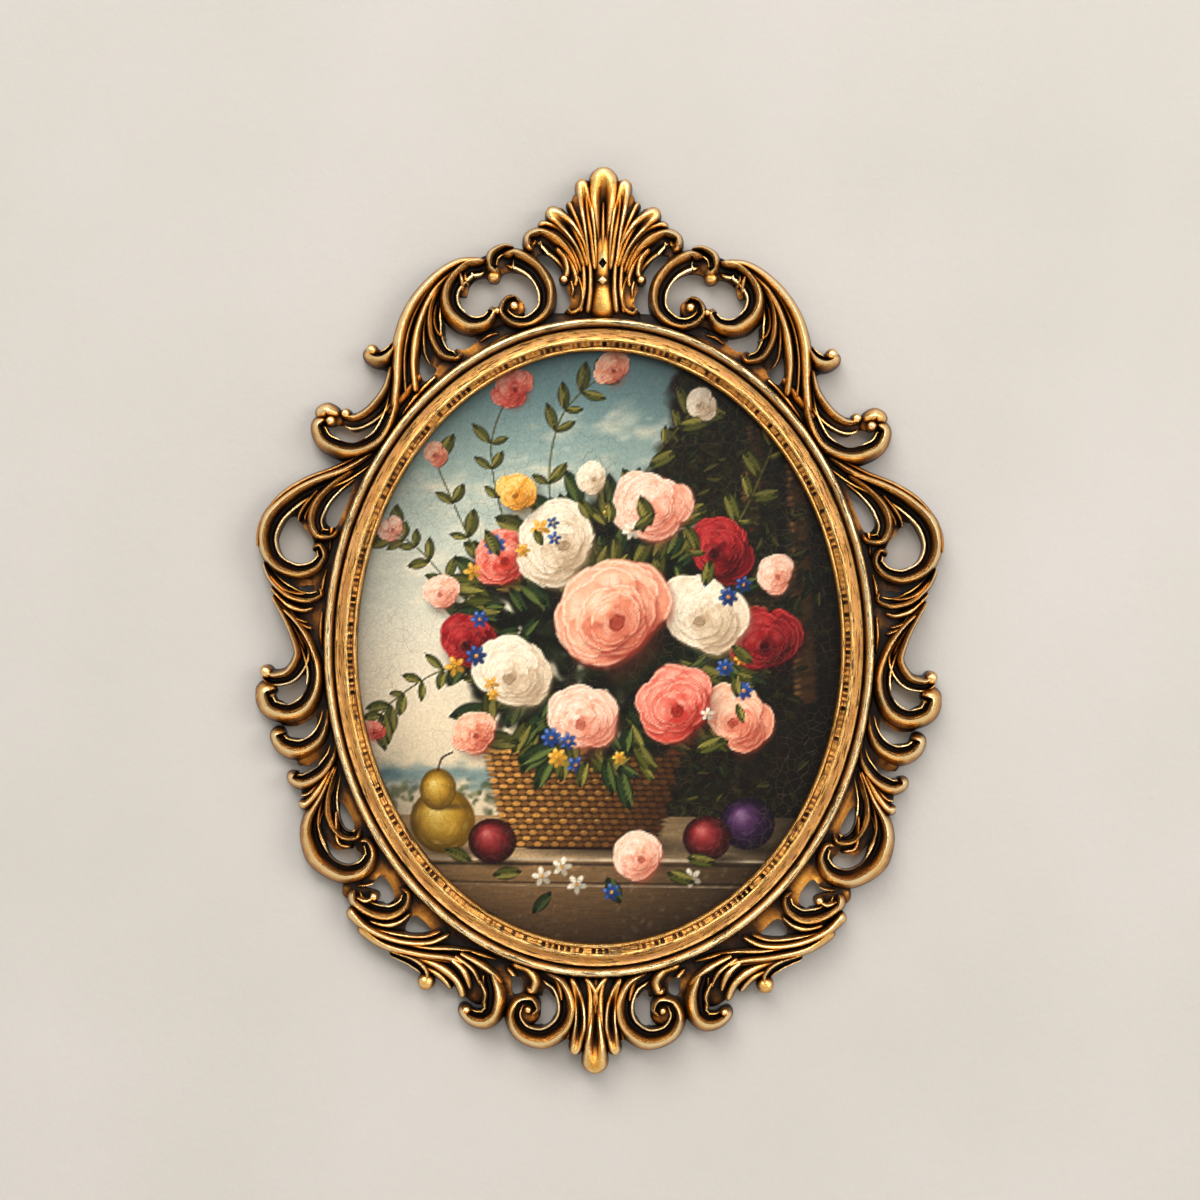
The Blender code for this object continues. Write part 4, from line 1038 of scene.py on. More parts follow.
@dataclass(frozen=True)
class AntiqueGold(Finish):
    """Cast resin under gold bronze paint and a brown wash, rubbed bright on the ridges, with painted light
    and shade.

    Its colour shows pale gold lines on every crest, for the rubbed gold and a painted highlight, warm orange
    gold on the flanks, and nearly black hollows, for the brown wash and painted shade, with more painted
    shade towards the wall;
    the oval ring has worn pinkish patches and dark specks. It reads the attributes hollow, ridge and out.
    """

    name: str = "antique_gold_bronze_on_resin"
    leaf: Stops = (
        (0, "#120A05"), (0.14, "#40260F"), (0.28, "#855423"), (0.44, "#C48639"), (0.6, "#E8AE56"),
        (0.78, "#F8CE84"), (1, "#FFE7B4"),
    )
    base_tone: float = 0.59
    worn: str = "#9A7058"
    wash: str = "#140B06"
    patch_size: float = 11
    grain_size: float = 0.9
    speck_size: float = 2.6
    streak_long: float = 9
    streak_wide: float = 0.7

    # From where to where things fade, in metres: painted shade towards the wall, the ring's outer edge, and
    # the start and end of the ring's most rubbed band
    painted_wall_shade: Point = (-0.0082, -0.0052)
    ring_edge: Point = (0.0132, 0.0138)
    band_start: Point = (0.0046, 0.0056)
    band_end: Point = (0.0086, 0.0094)

    def skin(self, g: Graph, where: Socket) -> Socket:
        """Adds the nodes and returns the shader."""
        apart = g.add("SeparateXYZ", {0: where}).node.outputs
        hollow = g.add("Attribute", out="Fac", attribute_name="hollow")
        ridge = g.add("Attribute", out="Fac", attribute_name="ridge")
        out = g.add("Attribute", out="Fac", attribute_name="out")
        patches = g.add("TexNoise", {"Vector": where, "Scale": per_metre(self.patch_size), "Detail": 3})
        grain = g.add("TexNoise", {"Vector": where, "Scale": per_metre(self.grain_size), "Detail": 3})

        # Tone: paler on ridges for rubbed wear and a painted highlight, dark in hollows for the brown wash
        # and painted shade, painted shade near the wall, and a little uneven all over
        ridge_wear_and_highlight = g.add("MapRange", (ridge, 0.05, 0.8, 0, 0.38))
        hollow_wash_and_shade = g.add("MapRange", (hollow, 0.26, 0.8, 0, -0.6))
        low = g.add("MapRange", (apart[1], *self.painted_wall_shade, 0, -0.16))
        uneven = g.add("MapRange", (patches, 0.3, 0.7, -0.12, 0.06))
        fine = g.add("MapRange", (grain, 0.25, 0.75, -0.05, 0.04))
        tone = g.add("Math", (self.base_tone, ridge_wear_and_highlight))
        for change in (hollow_wash_and_shade, low, uneven, fine):
            tone = g.add("Math", (tone, change), use_clamp=change is fine)
        colour = g.add("ValToRGB", {0: tone}, stops=self.leaf)

        # Streaks that run along the ring: dark dirt, and gold rubbed down to the pinkish ground
        across = g.add("Math", (out, self.streak_long / self.streak_wide), operation="MULTIPLY")
        along = g.add("CombineXYZ", (apart[0], across, apart[2]))
        streaks = g.add("TexNoise", {"Vector": along, "Scale": per_metre(self.streak_long), "Detail": 5,
                                     "Roughness": 0.75})
        on_ring = g.add("MapRange", (out, *self.ring_edge, 1, 0))
        streak = g.add("MapRange", (streaks, 0.51, 0.59, 0, 0.92))
        streak = g.add("Math", (streak, on_ring), operation="MULTIPLY")
        rubbed = g.add("MapRange", (streaks, 0.44, 0.54, 0.68, 0))
        strip_from = g.add("MapRange", (out, *self.band_start, 0, 1))
        strip_to = g.add("MapRange", (out, *self.band_end, 1, 0))
        strip = g.add("Math", (strip_from, strip_to), operation="MULTIPLY")
        strip = g.add("MapRange", {0: strip, 3: 0.35, 4: 1})
        for part in (strip, on_ring):
            rubbed = g.add("Math", (rubbed, part), operation="MULTIPLY")
        colour = g.add("Mix", {0: rubbed, 6: colour, 7: linear(self.worn)}, out=2, data_type="RGBA")
        specks = g.add("TexNoise", {"Vector": where, "Scale": per_metre(self.speck_size), "Detail": 6,
                                    "Roughness": 0.8})
        speck = g.add("MapRange", (specks, 0.63, 0.67, 0, 0.9))
        dirt = g.add("Math", (speck, streak), operation="MAXIMUM")
        colour = g.add("Mix", {0: dirt, 6: colour, 7: linear(self.wash)}, out=2, data_type="RGBA")

        # Sheen: polished on the ridges, dull in hollows and under dirt
        metal = g.add("MapRange", (tone, 0.06, 0.36, 0.72, 0.97))
        dull = g.add("MapRange", {0: dirt, 3: 1, 4: 0.6})
        metal = g.add("Math", (metal, dull), operation="MULTIPLY")
        gloss = g.add("MapRange", (tone, 0.15, 0.85, 0.44, 0.14))
        matt = g.add("MapRange", (rubbed, 0, 0.5, 0, 0.14))
        gloss = g.add("Math", (gloss, matt))
        bent = g.add("Bump", {"Strength": 0.16, "Distance": 0.0003, "Height": grain})
        bent = g.add("Bump", {"Strength": 0.35, "Distance": 0.0011, "Height": specks, "Normal": bent})
        bent = g.add("Bump", {"Strength": 0.4, "Distance": 0.0003, "Height": dirt, "Normal": bent},
                     invert=True)
        return g.add("BsdfPrincipled",
                     {"Base Color": colour, "Metallic": metal, "Roughness": gloss, "Normal": bent})


@dataclass(frozen=True)
class OldOilPaint(Finish):
    """Oil paint on a panel under old varnish: soft gloss over brush marks and a net of fine age cracks.

    It reads the attribute painted.
    """

    name: str = "varnished_oil_paint"
    crack_size: float = 4.2
    brush_size: float = 0.9
    wander_size: float = 3
    patch_size: float = 22
    crack_colour: str = "#4A3B2C"

    def skin(self, g: Graph, where: Socket) -> Socket:
        """Adds the nodes and returns the shader."""
        painted = g.add("Attribute", attribute_name="painted")
        brush = g.add("TexNoise", {"Vector": where, "Scale": per_metre(self.brush_size), "Detail": 4,
                                   "Roughness": 0.7})

        # A wandering net of cracks, denser in some patches
        wander = g.add("TexNoise", {"Vector": where, "Scale": per_metre(self.wander_size), "Detail": 2},
                       out="Color")
        bent = g.add("Mix", {0: 0.0012, 6: where, 7: wander}, out=2, data_type="RGBA", blend_type="ADD")
        net = g.add("TexVoronoi", {"Vector": bent, "Scale": per_metre(self.crack_size)},
                    feature="DISTANCE_TO_EDGE")
        crack = g.add("MapRange", (net, 0.006, 0.03, 0.42, 0))
        patches = g.add("TexNoise", {"Vector": where, "Scale": per_metre(self.patch_size), "Detail": 2})
        here = g.add("MapRange", (patches, 0.38, 0.62, 0.15, 1))
        crack = g.add("Math", (crack, here), operation="MULTIPLY")

        # Painted shade: brush marks darken the paint between their ridges, where their relief lies low
        shade = g.add("MapRange", (brush, 0.2, 0.8, 0.64, 0.98))
        colour = g.add("Mix", {0: 1, 6: painted, 7: shade}, out=2, data_type="RGBA", blend_type="MULTIPLY")
        colour = g.add("Mix", {0: crack, 6: colour, 7: linear(self.crack_colour)}, out=2, data_type="RGBA")
        relief = g.add("Bump", {"Strength": 0.25, "Distance": 0.0003, "Height": brush})
        relief = g.add("Bump", {"Strength": 0.35, "Distance": 0.0002, "Height": crack, "Normal": relief},
                       invert=True)
        return g.add("BsdfPrincipled", {"Base Color": colour, "Roughness": 0.46, "Specular IOR Level": 0.12,
                                        "Normal": relief})


@dataclass(frozen=True)
class Hardboard(Finish):
    """Brown pressed fibreboard: matt, mottled, with short darker fibres."""

    name: str = "pressed_hardboard"
    mottle_size: float = 14
    fibre_size: float = 0.8
    fibre_squeeze: float = 0.22
    browns: Stops = ((0, "#4A301C"), (0.5, "#6B4829"), (1, "#8A6440"))

    def skin(self, g: Graph, where: Socket) -> Socket:
        """Adds the nodes and returns the shader."""
        squeezed = g.add("Mapping", {"Vector": where, "Scale": (1, 1, self.fibre_squeeze)})
        mottle = g.add("TexNoise", {"Vector": where, "Scale": per_metre(self.mottle_size), "Detail": 5})
        fibre = g.add("TexNoise", {"Vector": squeezed, "Scale": per_metre(self.fibre_size), "Detail": 3})
        tone = g.add("Math", (mottle, fibre))
        tone = g.add("MapRange", (tone, 0.7, 1.3))
        colour = g.add("ValToRGB", {0: tone}, stops=self.browns)
        relief = g.add("Bump", {"Strength": 0.25, "Distance": 0.0003, "Height": fibre})
        return g.add("BsdfPrincipled", {"Base Color": colour, "Roughness": 0.82, "Normal": relief})


@dataclass(frozen=True)
class PalePlaster(Finish):
    """Warm off-white paint on fine plaster: matt, very slightly clouded and stippled.

    Where clear_back is set it can't be seen from behind, and daylight reaches a back that lies against it.
    """

    clear_back: bool
    contact: float = 0.0012
    clouds: Stops = ((0, "#B2AEA8"), (1, "#B8B4AF"))
    cloud_size: float = 120
    stipple_size: float = 4

    def skin(self, g: Graph, where: Socket) -> Socket:
        """Adds the nodes and returns the shader."""
        clouds = g.add("TexNoise", {"Vector": where, "Scale": per_metre(self.cloud_size), "Detail": 4})
        stipple = g.add("TexNoise", {"Vector": where, "Scale": per_metre(self.stipple_size), "Detail": 5,
                                     "Roughness": 0.7})
        tone = g.add("MapRange", (clouds, 0.3, 0.7))
        colour = g.add("ValToRGB", {0: tone}, stops=self.clouds)
        relief = g.add("Bump", {"Strength": 0.3, "Distance": 0.0008, "Height": stipple})
        skin = g.add("BsdfPrincipled", {"Base Color": colour, "Roughness": 0.9, "Normal": relief})
        if not self.clear_back:
            return skin
        behind = g.add("NewGeometry", out="Backfacing")
        touching = g.add("Math", (g.add("LightPath", out="Ray Length"), self.contact), operation="LESS_THAN")
        clear = g.add("Math", (behind, touching), operation="MAXIMUM")
        return g.add("MixShader", (clear, skin, g.add("BsdfTransparent")))


def unit(angle: float) -> np.ndarray:
    """Returns the step of length 1 in this direction."""
    return np.array([math.cos(angle), math.sin(angle)])


def mix(first: np.ndarray, second: np.ndarray, share: float) -> np.ndarray:
    """Returns a colour that lies this share of the way from the first to the second."""
    return first + (second - first) * min(max(share, 0.0), 1.0)


@dataclass
class Canvas:
    """The picture's colours, painted dab by dab on a fine grid of sRGB values. Sizes are in millimetres."""

    half_width: float
    half_height: float
    pitch: float = 0.33
    margin: float = 2
    seed: int = 11
    light: Point = (-0.62, 0.78)
    glint: str = "#F4D889"

    def __post_init__(self) -> None:
        """Lays out the empty grid."""
        self.rng = np.random.default_rng(self.seed)
        wide, tall = self.half_width + self.margin, self.half_height + self.margin
        self.across, self.upward = np.arange(-wide, wide, self.pitch), np.arange(-tall, tall, self.pitch)
        self.colours = np.zeros((len(self.upward), len(self.across), 3))

    def dab(self, at: Point, long: float, wide: float, angle: float, colour: np.ndarray,
            alpha: float = 0.9, soft: float = 0.35, pointed: float = 0.0) -> None:
        """Lays down one touch of the brush.

        Args:
            at: Its middle.
            long: Half its length.
            wide: Half its width.
            angle: Its direction in radians.
            colour: Its sRGB colour.
            alpha: How well it covers.
            soft: Share of the dab over which its edge fades.
            pointed: 0 for an oval dab to 1 for one with pointed ends.
        """
        reach = max(long, wide)
        columns = slice(*np.searchsorted(self.across, (at[0] - reach, at[0] + reach)))
        rows = slice(*np.searchsorted(self.upward, (at[1] - reach, at[1] + reach)))
        patch = self.colours[rows, columns]
        if not patch.size:
            return
        dx, dz = self.across[None, columns] - at[0], self.upward[rows, None] - at[1]
        way = unit(angle)
        along, beside = (dx * way[0] + dz * way[1]) / long, (dz * way[0] - dx * way[1]) / wide
        far = np.sqrt(along ** 2 + beside ** 2)
        if pointed:
            past = np.abs(along) >= 1
            leaf = np.abs(beside) / np.maximum(1 - along ** 2, 0.02) * ~past + 2 * past
            far = far * (1 - pointed) + leaf * pointed
        cover = np.clip((1 - far) / soft, 0, 1) * alpha
        bristles = 1 + 0.05 * np.sin(beside * 9 + at[0]) * (wide > 0.8)
        patch += (np.clip(colour * bristles[..., None], 0, 1) - patch) * cover[..., None]

    def scatter(self, count: int, place: Callable, tones: Tones, size: Point,
                alpha: float = 0.7, soft: float = 0.6, pointed: float = 0.0,
                angle: float | None = None) -> None:
        """Lays many dabs of mixed tones.

        Args:
            count: How many.
            place: Gives a random point.
            tones: Hex colours that are mixed at random.
            size: Smallest and largest half length.
            alpha: How well they cover.
            soft: Share over which their edges fade.
            pointed: How pointed they are.
            angle: Their direction, or None for any.
        """
        palette = [shown(tone) for tone in tones]
        for _ in range(count):
            at = place()
            a, b = self.rng.integers(0, len(palette), 2)
            colour = mix(palette[a], palette[b], self.rng.random())
            long = self.rng.uniform(*size)
            way = self.rng.uniform(0, math.pi) if angle is None else angle + self.rng.normal(0, 0.15)
            self.dab(at, long, long * self.rng.uniform(0.35, 0.7), way, colour, alpha, soft, pointed)

    def blossom(self, at: Point, radius: float, tones: Tones, petals: int = 8, rings: int = 3) -> None:
        """Paints a full, many-petalled flower that is lit from the upper left and turned a little aside.

        Args:
            at: Its middle.
            radius: Its radius.
            tones: Four hex colours: deep shade, shade, body and light.
            petals: Petals in the outer ring.
            rings: Rings of petals.
        """
        deep, shade, body, bright = (shown(tone) for tone in tones)
        rng, light, middle = self.rng, np.array(self.light), np.array(at, float)
        start, turned = rng.uniform(0, math.tau), rng.uniform(-2.6, -0.4)
        facing, quarter = unit(turned), math.pi / 2
        self.dab(middle, radius * 0.84, radius * 0.7, turned + quarter, mix(deep, shade, 0.5), 0.95, 0.2)
        for ring in range(rings):
            share = 1 - 0.74 * ring / rings
            count = max(4, round(petals * (0.5 + 0.5 * share)))
            for number in rng.permutation(count):
                turn = start + ring * 2.1 + math.tau * number / count + rng.normal(0, 0.2)
                way = unit(turn)
                side = np.array([-way[1], way[0]])
                lit = 0.5 + 0.5 * float(way @ light) + 0.1 * share + rng.normal(0, 0.12)
                lit = min(max(lit, 0.04), 1)
                out = way * radius * share * rng.uniform(0.5, 0.68)
                spot = middle + facing * radius * 0.2 * (1 - share) + out - facing * (out @ facing) * 0.26
                long = radius * (0.36 * share + 0.1) * rng.uniform(0.85, 1.2)
                wide = long * rng.uniform(0.66, 0.86)
                across = turn + quarter + rng.normal(0, 0.14)
                # Each petal's shadow, body, lit rim and shaded root
                for shift, length, width, tone, alpha, soft in (
                    (light * -0.16, 1.12, 1.12, mix(deep, shade, lit * 0.5), 0.72, 0.35),
                    (light * 0.0, 1.0, 1.0, mix(shade, body, 0.15 + lit * 1.1), 0.97, 0.12),
                    (way * 0.34, 0.78, 0.58, mix(body, bright, lit * 1.2), 0.85, 0.9),
                    (way * -0.62, 0.66, 0.46, mix(deep, shade, 0.25 + lit * 0.75), 0.75, 0.9),
                ):
                    self.dab(spot + shift * wide, long * length, wide * width, across, tone, alpha, soft)
                for bow in np.linspace(-1.1, 1.1, 9):
                    edge = way * math.cos(bow) * wide * (0.88 + rng.normal(0, 0.05))
                    self.dab(spot + side * math.sin(bow) * long * 0.92 + edge, long * 0.21, wide * 0.085,
                             across + bow * 0.8, mix(body, bright, lit + 0.35), 0.75, 0.6)
                for slide in rng.uniform(-0.5, 0.5, 4):
                    self.dab(spot + side * slide * long + way * wide * 0.15, wide * 0.5, wide * 0.06,
                             turn - slide * 0.7, mix(shade, bright, lit * rng.random()), 0.5, 0.8)
        away = light * radius
        self.dab(middle - away * 0.66, radius * 0.85, radius * 0.46, 0.9, mix(deep, shade, 0.3), 0.5, 1.0)
        self.dab(middle + away * 0.42, radius * 0.5, radius * 0.34, 0.9, bright, 0.3, 1.0)
        heart = middle + facing * radius * 0.2
        self.dab(heart, radius * 0.3, radius * 0.2, turned + quarter, mix(deep, shade, 0.25), 0.85, 0.9)
        for turn in turned + np.array([2.2, -2.2, 1.4, -1.4, 0.7, -0.7, 0.0]):
            curl = unit(turn) * radius * rng.uniform(0.14, 0.22)
            lit = 0.35 + 0.4 * float(curl @ light) / radius * 4
            self.dab(heart + curl, radius * 0.15, radius * 0.075, turn + quarter,
                     mix(shade, bright, lit + rng.normal(0, 0.15)), 0.9, 0.5)
            self.dab(heart + curl * 0.6, radius * 0.09, radius * 0.03, turn + quarter, deep, 0.7, 0.8)

    def star_flower(self, at: Point, radius: float, tones: Tones, petals: int = 6) -> None:
        """Paints a small open flower with separate petals round an eye.

        Args:
            at: Its middle.
            radius: Its radius.
            tones: Three hex colours: the petals, their lit tips and the eye.
            petals: How many petals.
        """
        petal, tip, eye = (shown(tone) for tone in tones)
        middle, start = np.array(at, float), self.rng.uniform(0, math.tau)
        for number in range(petals):
            turn = start + math.tau * number / petals
            way = unit(turn)
            lit = 0.5 + 0.5 * float(way @ np.array(self.light))
            tone = mix(petal * 0.72, petal, lit * 1.3)
            self.dab(middle + way * radius * 0.56, radius * 0.48, radius * 0.3, turn, tone, 0.95, 0.3)
            self.dab(middle + way * radius * 0.74, radius * 0.24, radius * 0.17, turn, mix(tone, tip, lit),
                     0.85, 0.6)
        self.dab(middle, radius * 0.2, radius * 0.18, 0, eye, 1.0, 0.4)
        self.dab(middle + radius * np.array([-0.05, 0.06]), radius * 0.09, radius * 0.07, 0,
                 shown(self.glint), 0.8, 0.6)

    def leaf(self, at: Point, long: float, angle: float, tones: Tones) -> None:
        """Paints a pointed leaf.

        Args:
            at: Its stem end.
            long: Its length.
            angle: Where it points.
            tones: Three hex colours: shade, body and light.
        """
        shade, body, bright = (shown(tone) for tone in tones)
        root, way = np.array(at, float), unit(angle)
        middle, side = root + way * long / 2, np.array([-way[1], way[0]])
        wide = long * self.rng.uniform(0.19, 0.27)
        self.dab(middle, long * 0.52, wide * 1.1, angle, shade, 0.95, 0.25, 0.85)
        for half, tone in ((1, bright), (-1, body)):
            self.dab(middle + side * half * wide * 0.4, long * 0.44, wide * 0.42, angle,
                     mix(tone, shade, self.rng.uniform(0, 0.4)), 0.85, 0.5, 0.85)
        for step in range(3):
            self.dab(root + way * (0.25 + 0.22 * step) * long, long * 0.13, wide * 0.06, angle + 0.9,
                     mix(bright, shade, 0.2), 0.5, 0.8)
        self.dab(middle, long * 0.46, max(wide * 0.07, 0.16), angle, mix(bright, shade, 0.1), 0.7, 0.6)

    def stem(self, points: Sequence[Point], width: float, tone: str) -> None:
        """Paints a thin curved stem through points."""
        line = spline(points, 14)
        for start, end in zip(line, line[1:]):
            step = end - start
            self.dab((start + end) / 2, math.hypot(*step) * 0.8 + 0.2, width, math.atan2(step[1], step[0]),
                     shown(tone) * self.rng.uniform(0.85, 1.15), 0.85, 0.5)

    def fruit(self, at: Point, radius: float, tones: Tones, tall: float = 1.0) -> None:
        """Paints a round fruit with a soft light, a shaded side and a thin reflected edge.

        Args:
            at: Its middle.
            radius: Its radius.
            tones: Four hex colours: deep, shade, body and light.
            tall: Height as a share of its width.
        """
        deep, shade, body, bright = (shown(tone) for tone in tones)
        light, middle = np.array(self.light), np.array(at, float)
        for step in range(22):
            share = step / 21
            tone = mix(deep, shade, share * 3)
            if share >= 0.33:
                tone = mix(shade, body, (share - 0.33) * 2.4)
            tone = mix(tone, bright, (share - 0.7) * 2.2)
            size = radius * (1 - share * 0.88)
            alpha, soft = (0.98, 0.07) if step < 2 else (0.55, 0.3)
            self.dab(middle + light * radius * 0.4 * share, size, size * tall, 0.0, tone, alpha, soft)
        for _ in range(60):
            turn, out = self.rng.uniform(0, math.tau), radius * math.sqrt(self.rng.random()) * 0.85
            self.dab(middle + unit(turn) * out * np.array([1, tall]), radius * 0.2, radius * 0.06,
                     turn + 1.57, mix(shade, bright, self.rng.random()), 0.16, 0.9)


@dataclass
class Painting:
    """The oval panel with a generic flower piece: basket, blossoms, plums and a pear on a stone ledge.

    Places in the picture are in millimetres from its middle. The painter works as far as edge sideways.
    """

    low: Vector
    high: Vector
    pitch: float = 0.645
    edge: float = 104
    rose: Tones = ("#7C2A20", "#C4705A", "#EFA98C", "#FBE0CC")
    blush: Tones = ("#94493A", "#D98F78", "#F3BFA8", "#FDEBDF")
    cream: Tones = ("#8A745C", "#C4AF94", "#E9DAC4", "#FCF5E8")
    crimson: Tones = ("#1E0507", "#4B0C12", "#86191F", "#BE4A48")
    coral: Tones = ("#6B1814", "#B23B31", "#DD7466", "#F8C2AF")
    amber: Tones = ("#7A4312", "#C6822B", "#E9B256", "#FBE1A0")
    olive: Tones = ("#20230F", "#565A28", "#98914C")
    green: Tones = ("#0F1810", "#2C3F22", "#6A7A40")
    shadow: str = "#1C150F"

    def paint(self) -> Canvas:
        """Paints the picture, from the far sky to the near ledge."""
        canvas = Canvas((self.high.x - self.low.x) / 2 / MM, (self.high.z - self.low.z) / 2 / MM)
        for layer in (self.sky, self.trees, self.ledge, self.sprays, self.basket, self.bouquet,
                      self.still_life, self.age):
            layer(canvas)
        return canvas

    def sky(self, canvas: Canvas) -> None:
        """Paints a teal sky that pales to cream, and a far blue-green shore."""
        stops = (
            (-130, "#C4B398"), (-62, "#D2C5AC"), (-30, "#DFD3BC"), (5, "#D9D5C6"), (40, "#BCC5BC"),
            (75, "#93A8A5"), (100, "#6D898D"), (130, "#52717A"),
        )
        heights = [height for height, _ in stops]
        tones = np.array([shown(code) for _, code in stops])
        for channel in range(3):
            canvas.colours[..., channel] = np.interp(canvas.upward, heights, tones[:, channel])[:, None]
        canvas.colours *= 1 - 0.28 * np.clip((canvas.across + 10) / 110, 0, 1)[None, :, None]
        rng, edge = canvas.rng, self.edge
        for x, z in ((-62, 62), (-40, 48), (-76, 34), (-18, 70), (-52, 18), (8, 88), (36, 62)):
            canvas.scatter(46, lambda: (x + rng.normal(0, 14), z + rng.normal(0, 3.2)),
                           ("#F0E4CA", "#D6D2C0", "#F6EEDC"), (2, 7), 0.22, 0.9, angle=0.12)
        canvas.scatter(900, lambda: (rng.uniform(-edge, edge), rng.uniform(-50, 126)),
                       ("#6E8E90", "#CFC7AC", "#8DA3A0"), (1.5, 5), 0.07, 0.9)
        canvas.scatter(260, lambda: (rng.uniform(-edge, edge), rng.normal(-53, 2)),
                       ("#51707A", "#3E5A62", "#7F9796"), (3, 9), 0.35, 0.7, angle=0.0)
        canvas.scatter(300, lambda: (rng.uniform(-edge, edge), rng.normal(-60, 2.6)),
                       ("#26301F", "#35432A", "#4A5634"), (1.2, 4), 0.5, 0.6)

    def trees(self, canvas: Canvas) -> None:
        """Paints a dark tree and undergrowth on the right."""
        rng = canvas.rng

        def ragged(start: float, z: float) -> float:
            """Returns how far out the trees begin at this height."""
            return start + 9 * math.sin(z / 17) + 5 * math.sin(z / 6.3) - 0.22 * max(0, 40 - z)

        def grove() -> Point:
            """Returns a random place within the trees."""
            z = rng.uniform(-70, 128)
            return ragged(36, z) + abs(rng.normal(0, 1)) * 32, z

        for z in np.arange(-72, 130, 2.0):
            canvas.dab((ragged(40, z) + 70, z), 70, 4, 0.0, shown("#120D08"), 1.0, 0.12)
        canvas.scatter(1700, grove, ("#0F0B08", "#1B130C", "#0E0F0A"), (4, 10), 0.85, 0.6)
        for x, z, lean in ((60, 50, 0.06), (80, 40, -0.05)):
            for step in range(60):
                at = z - 60 + step * 2.6
                canvas.dab((x + (at - z) * lean, at), 6.2 - step * 0.05, 2.4, 0.15,
                           shown("#3A2717") * rng.uniform(0.8, 1.15), 0.9, 0.4)
                canvas.dab((x - 3 + (at - z) * lean, at), 2.1, 1.3, 0.3,
                           shown("#7D5C38") * rng.uniform(0.7, 1.15), 0.7, 0.6)
        canvas.scatter(2600, grove, ("#171A10", "#211A10", "#10140D", "#2C2916"), (1.2, 3.2), 0.6, 0.5, 0.6)
        for _ in range(230):
            spot = grove()
            tones = rng.choice((("#0B0C08", "#1B1F12", "#3A3C20"), ("#0C0D08", "#23270F", "#4F4B26"),
                                ("#090B08", "#151A10", "#2A321C")))
            canvas.leaf(spot, rng.uniform(4, 8.5), rng.uniform(0, math.tau), tones)

    def ledge(self, canvas: Canvas) -> None:
        """Paints the stone ledge that everything stands on."""
        rng, edge = canvas.rng, self.edge
        top, lip, foot = -68.0, -86.0, -130.0
        for z in np.arange(top, foot, -0.5):
            if z > lip:
                tone = mix(shown("#A38865"), shown("#C6AC86"), (top - z) / (top - lip))
            else:
                tone = mix(shown("#8F7250"), shown("#3B2A1C"), (lip - z) / (lip - foot))
            for x in np.arange(-edge, edge, 5.0):
                dark = 1 - 0.72 * max(0.0, (x + 30) / 134)
                canvas.dab((x, z), 5.5, 0.6, 0.0, tone * dark * rng.uniform(0.93, 1.07), 0.95, 0.3)
        canvas.scatter(700, lambda: (rng.uniform(-edge, edge), rng.uniform(-126, -70)),
                       ("#B6A68E", "#5C5145", "#8C7B66", "#3A322A"), (0.5, 2.6), 0.22, 0.7)
        for far, heights, width, tone in (
            (edge, (lip + 0.6, lip + 0.9, lip + 0.5), 0.7, "#C9BBA4"),
            (edge, (lip - 1.2, lip - 1.0, lip - 1.3), 0.9, "#2F261E"),
            (70, (-94, -94.4, -94.2), 0.45, "#2A221B"), (70, (-95.2, -95.6, -95.4), 0.4, "#8F806C"),
        ):
            canvas.stem(tuple(zip((-far, 0, far), heights)), width, tone)

    def sprays(self, canvas: Canvas) -> None:
        """Paints the thin stems, buds and leaves that reach out of the bouquet."""
        rng = canvas.rng
        routes = (
            ((-8, 10), (-34, 40), (-44, 78), (-36, 104)), ((-6, 20), (-20, 58), (-16, 92), (4, 112)),
            ((-14, 0), (-48, 14), (-72, 38), (-84, 46)), ((4, 20), (16, 66), (34, 92), (40, 98)),
            ((-20, -14), (-56, -8), (-82, -22), (-90, -34)), ((10, 10), (50, 44), (66, 74), (70, 88)),
            ((-10, 4), (-40, 22), (-62, 64), (-66, 76)),
        )
        for route in routes:
            canvas.stem(route, 0.55, "#4C4A24")
            line = spline(route, 10)
            for number in range(6, len(line) - 1, 3):
                ahead = math.atan2(*(line[number + 1] - line[number])[::-1])
                for side in (1, -1):
                    if rng.random() < 0.8:
                        canvas.leaf(line[number], rng.uniform(6, 13), ahead + side * rng.uniform(0.5, 1.1),
                                    self.olive)

    def basket(self, canvas: Canvas) -> None:
        """Paints a low woven basket on the ledge."""
        rng = canvas.rng
        middle, half, foot, rim = -6.0, 40.0, -79.0, -42.0

        def reach(z: float) -> float:
            """Returns half the basket's width at this height."""
            return half * (0.74 + 0.26 * (max(z - foot, 0) / (rim - foot)) ** 0.8)

        canvas.dab((middle + 10, foot - 1), half * 1.2, 5.5, 0.0, shown("#1D1610"), 0.8, 0.8)
        for z in np.arange(foot - 1, rim + 2, 1.0):
            canvas.dab((middle, z), reach(z) + 1.5, 1.3, 0.0, shown("#20120A"), 1.0, 0.08)
        for row, z in enumerate(np.arange(foot, rim, 2.3)):
            for number, x in enumerate(np.arange(-reach(z), reach(z) - 2.6, 3.4)):
                over = (row + number) % 2
                lit = 0.62 - 0.55 * (x / reach(z)) + 0.1 * (z - foot) / (rim - foot)
                tone = mix(shown("#2A170B"), shown("#B98748"),
                           lit * (0.95 if over else 0.55) * rng.uniform(0.8, 1.1))
                canvas.dab((middle + x + 1.6, z), 2.1, 1.15, 0.0 if over else 0.12, tone, 0.95, 0.35)
                if over and lit > 0.5:
                    canvas.dab((middle + x + 1.2, z + 0.4), 1.1, 0.3, 0.0, shown("#E3BC7C"), 0.5, 0.7)
        for turn in np.arange(-half - 2, half + 2, 2.6):
            canvas.dab((middle + turn, rim + 0.8), 2.3, 1.5, 0.6,
                       mix(shown("#331C0D"), shown("#CB9A58"), 0.62 - 0.5 * turn / half), 0.95, 0.35)

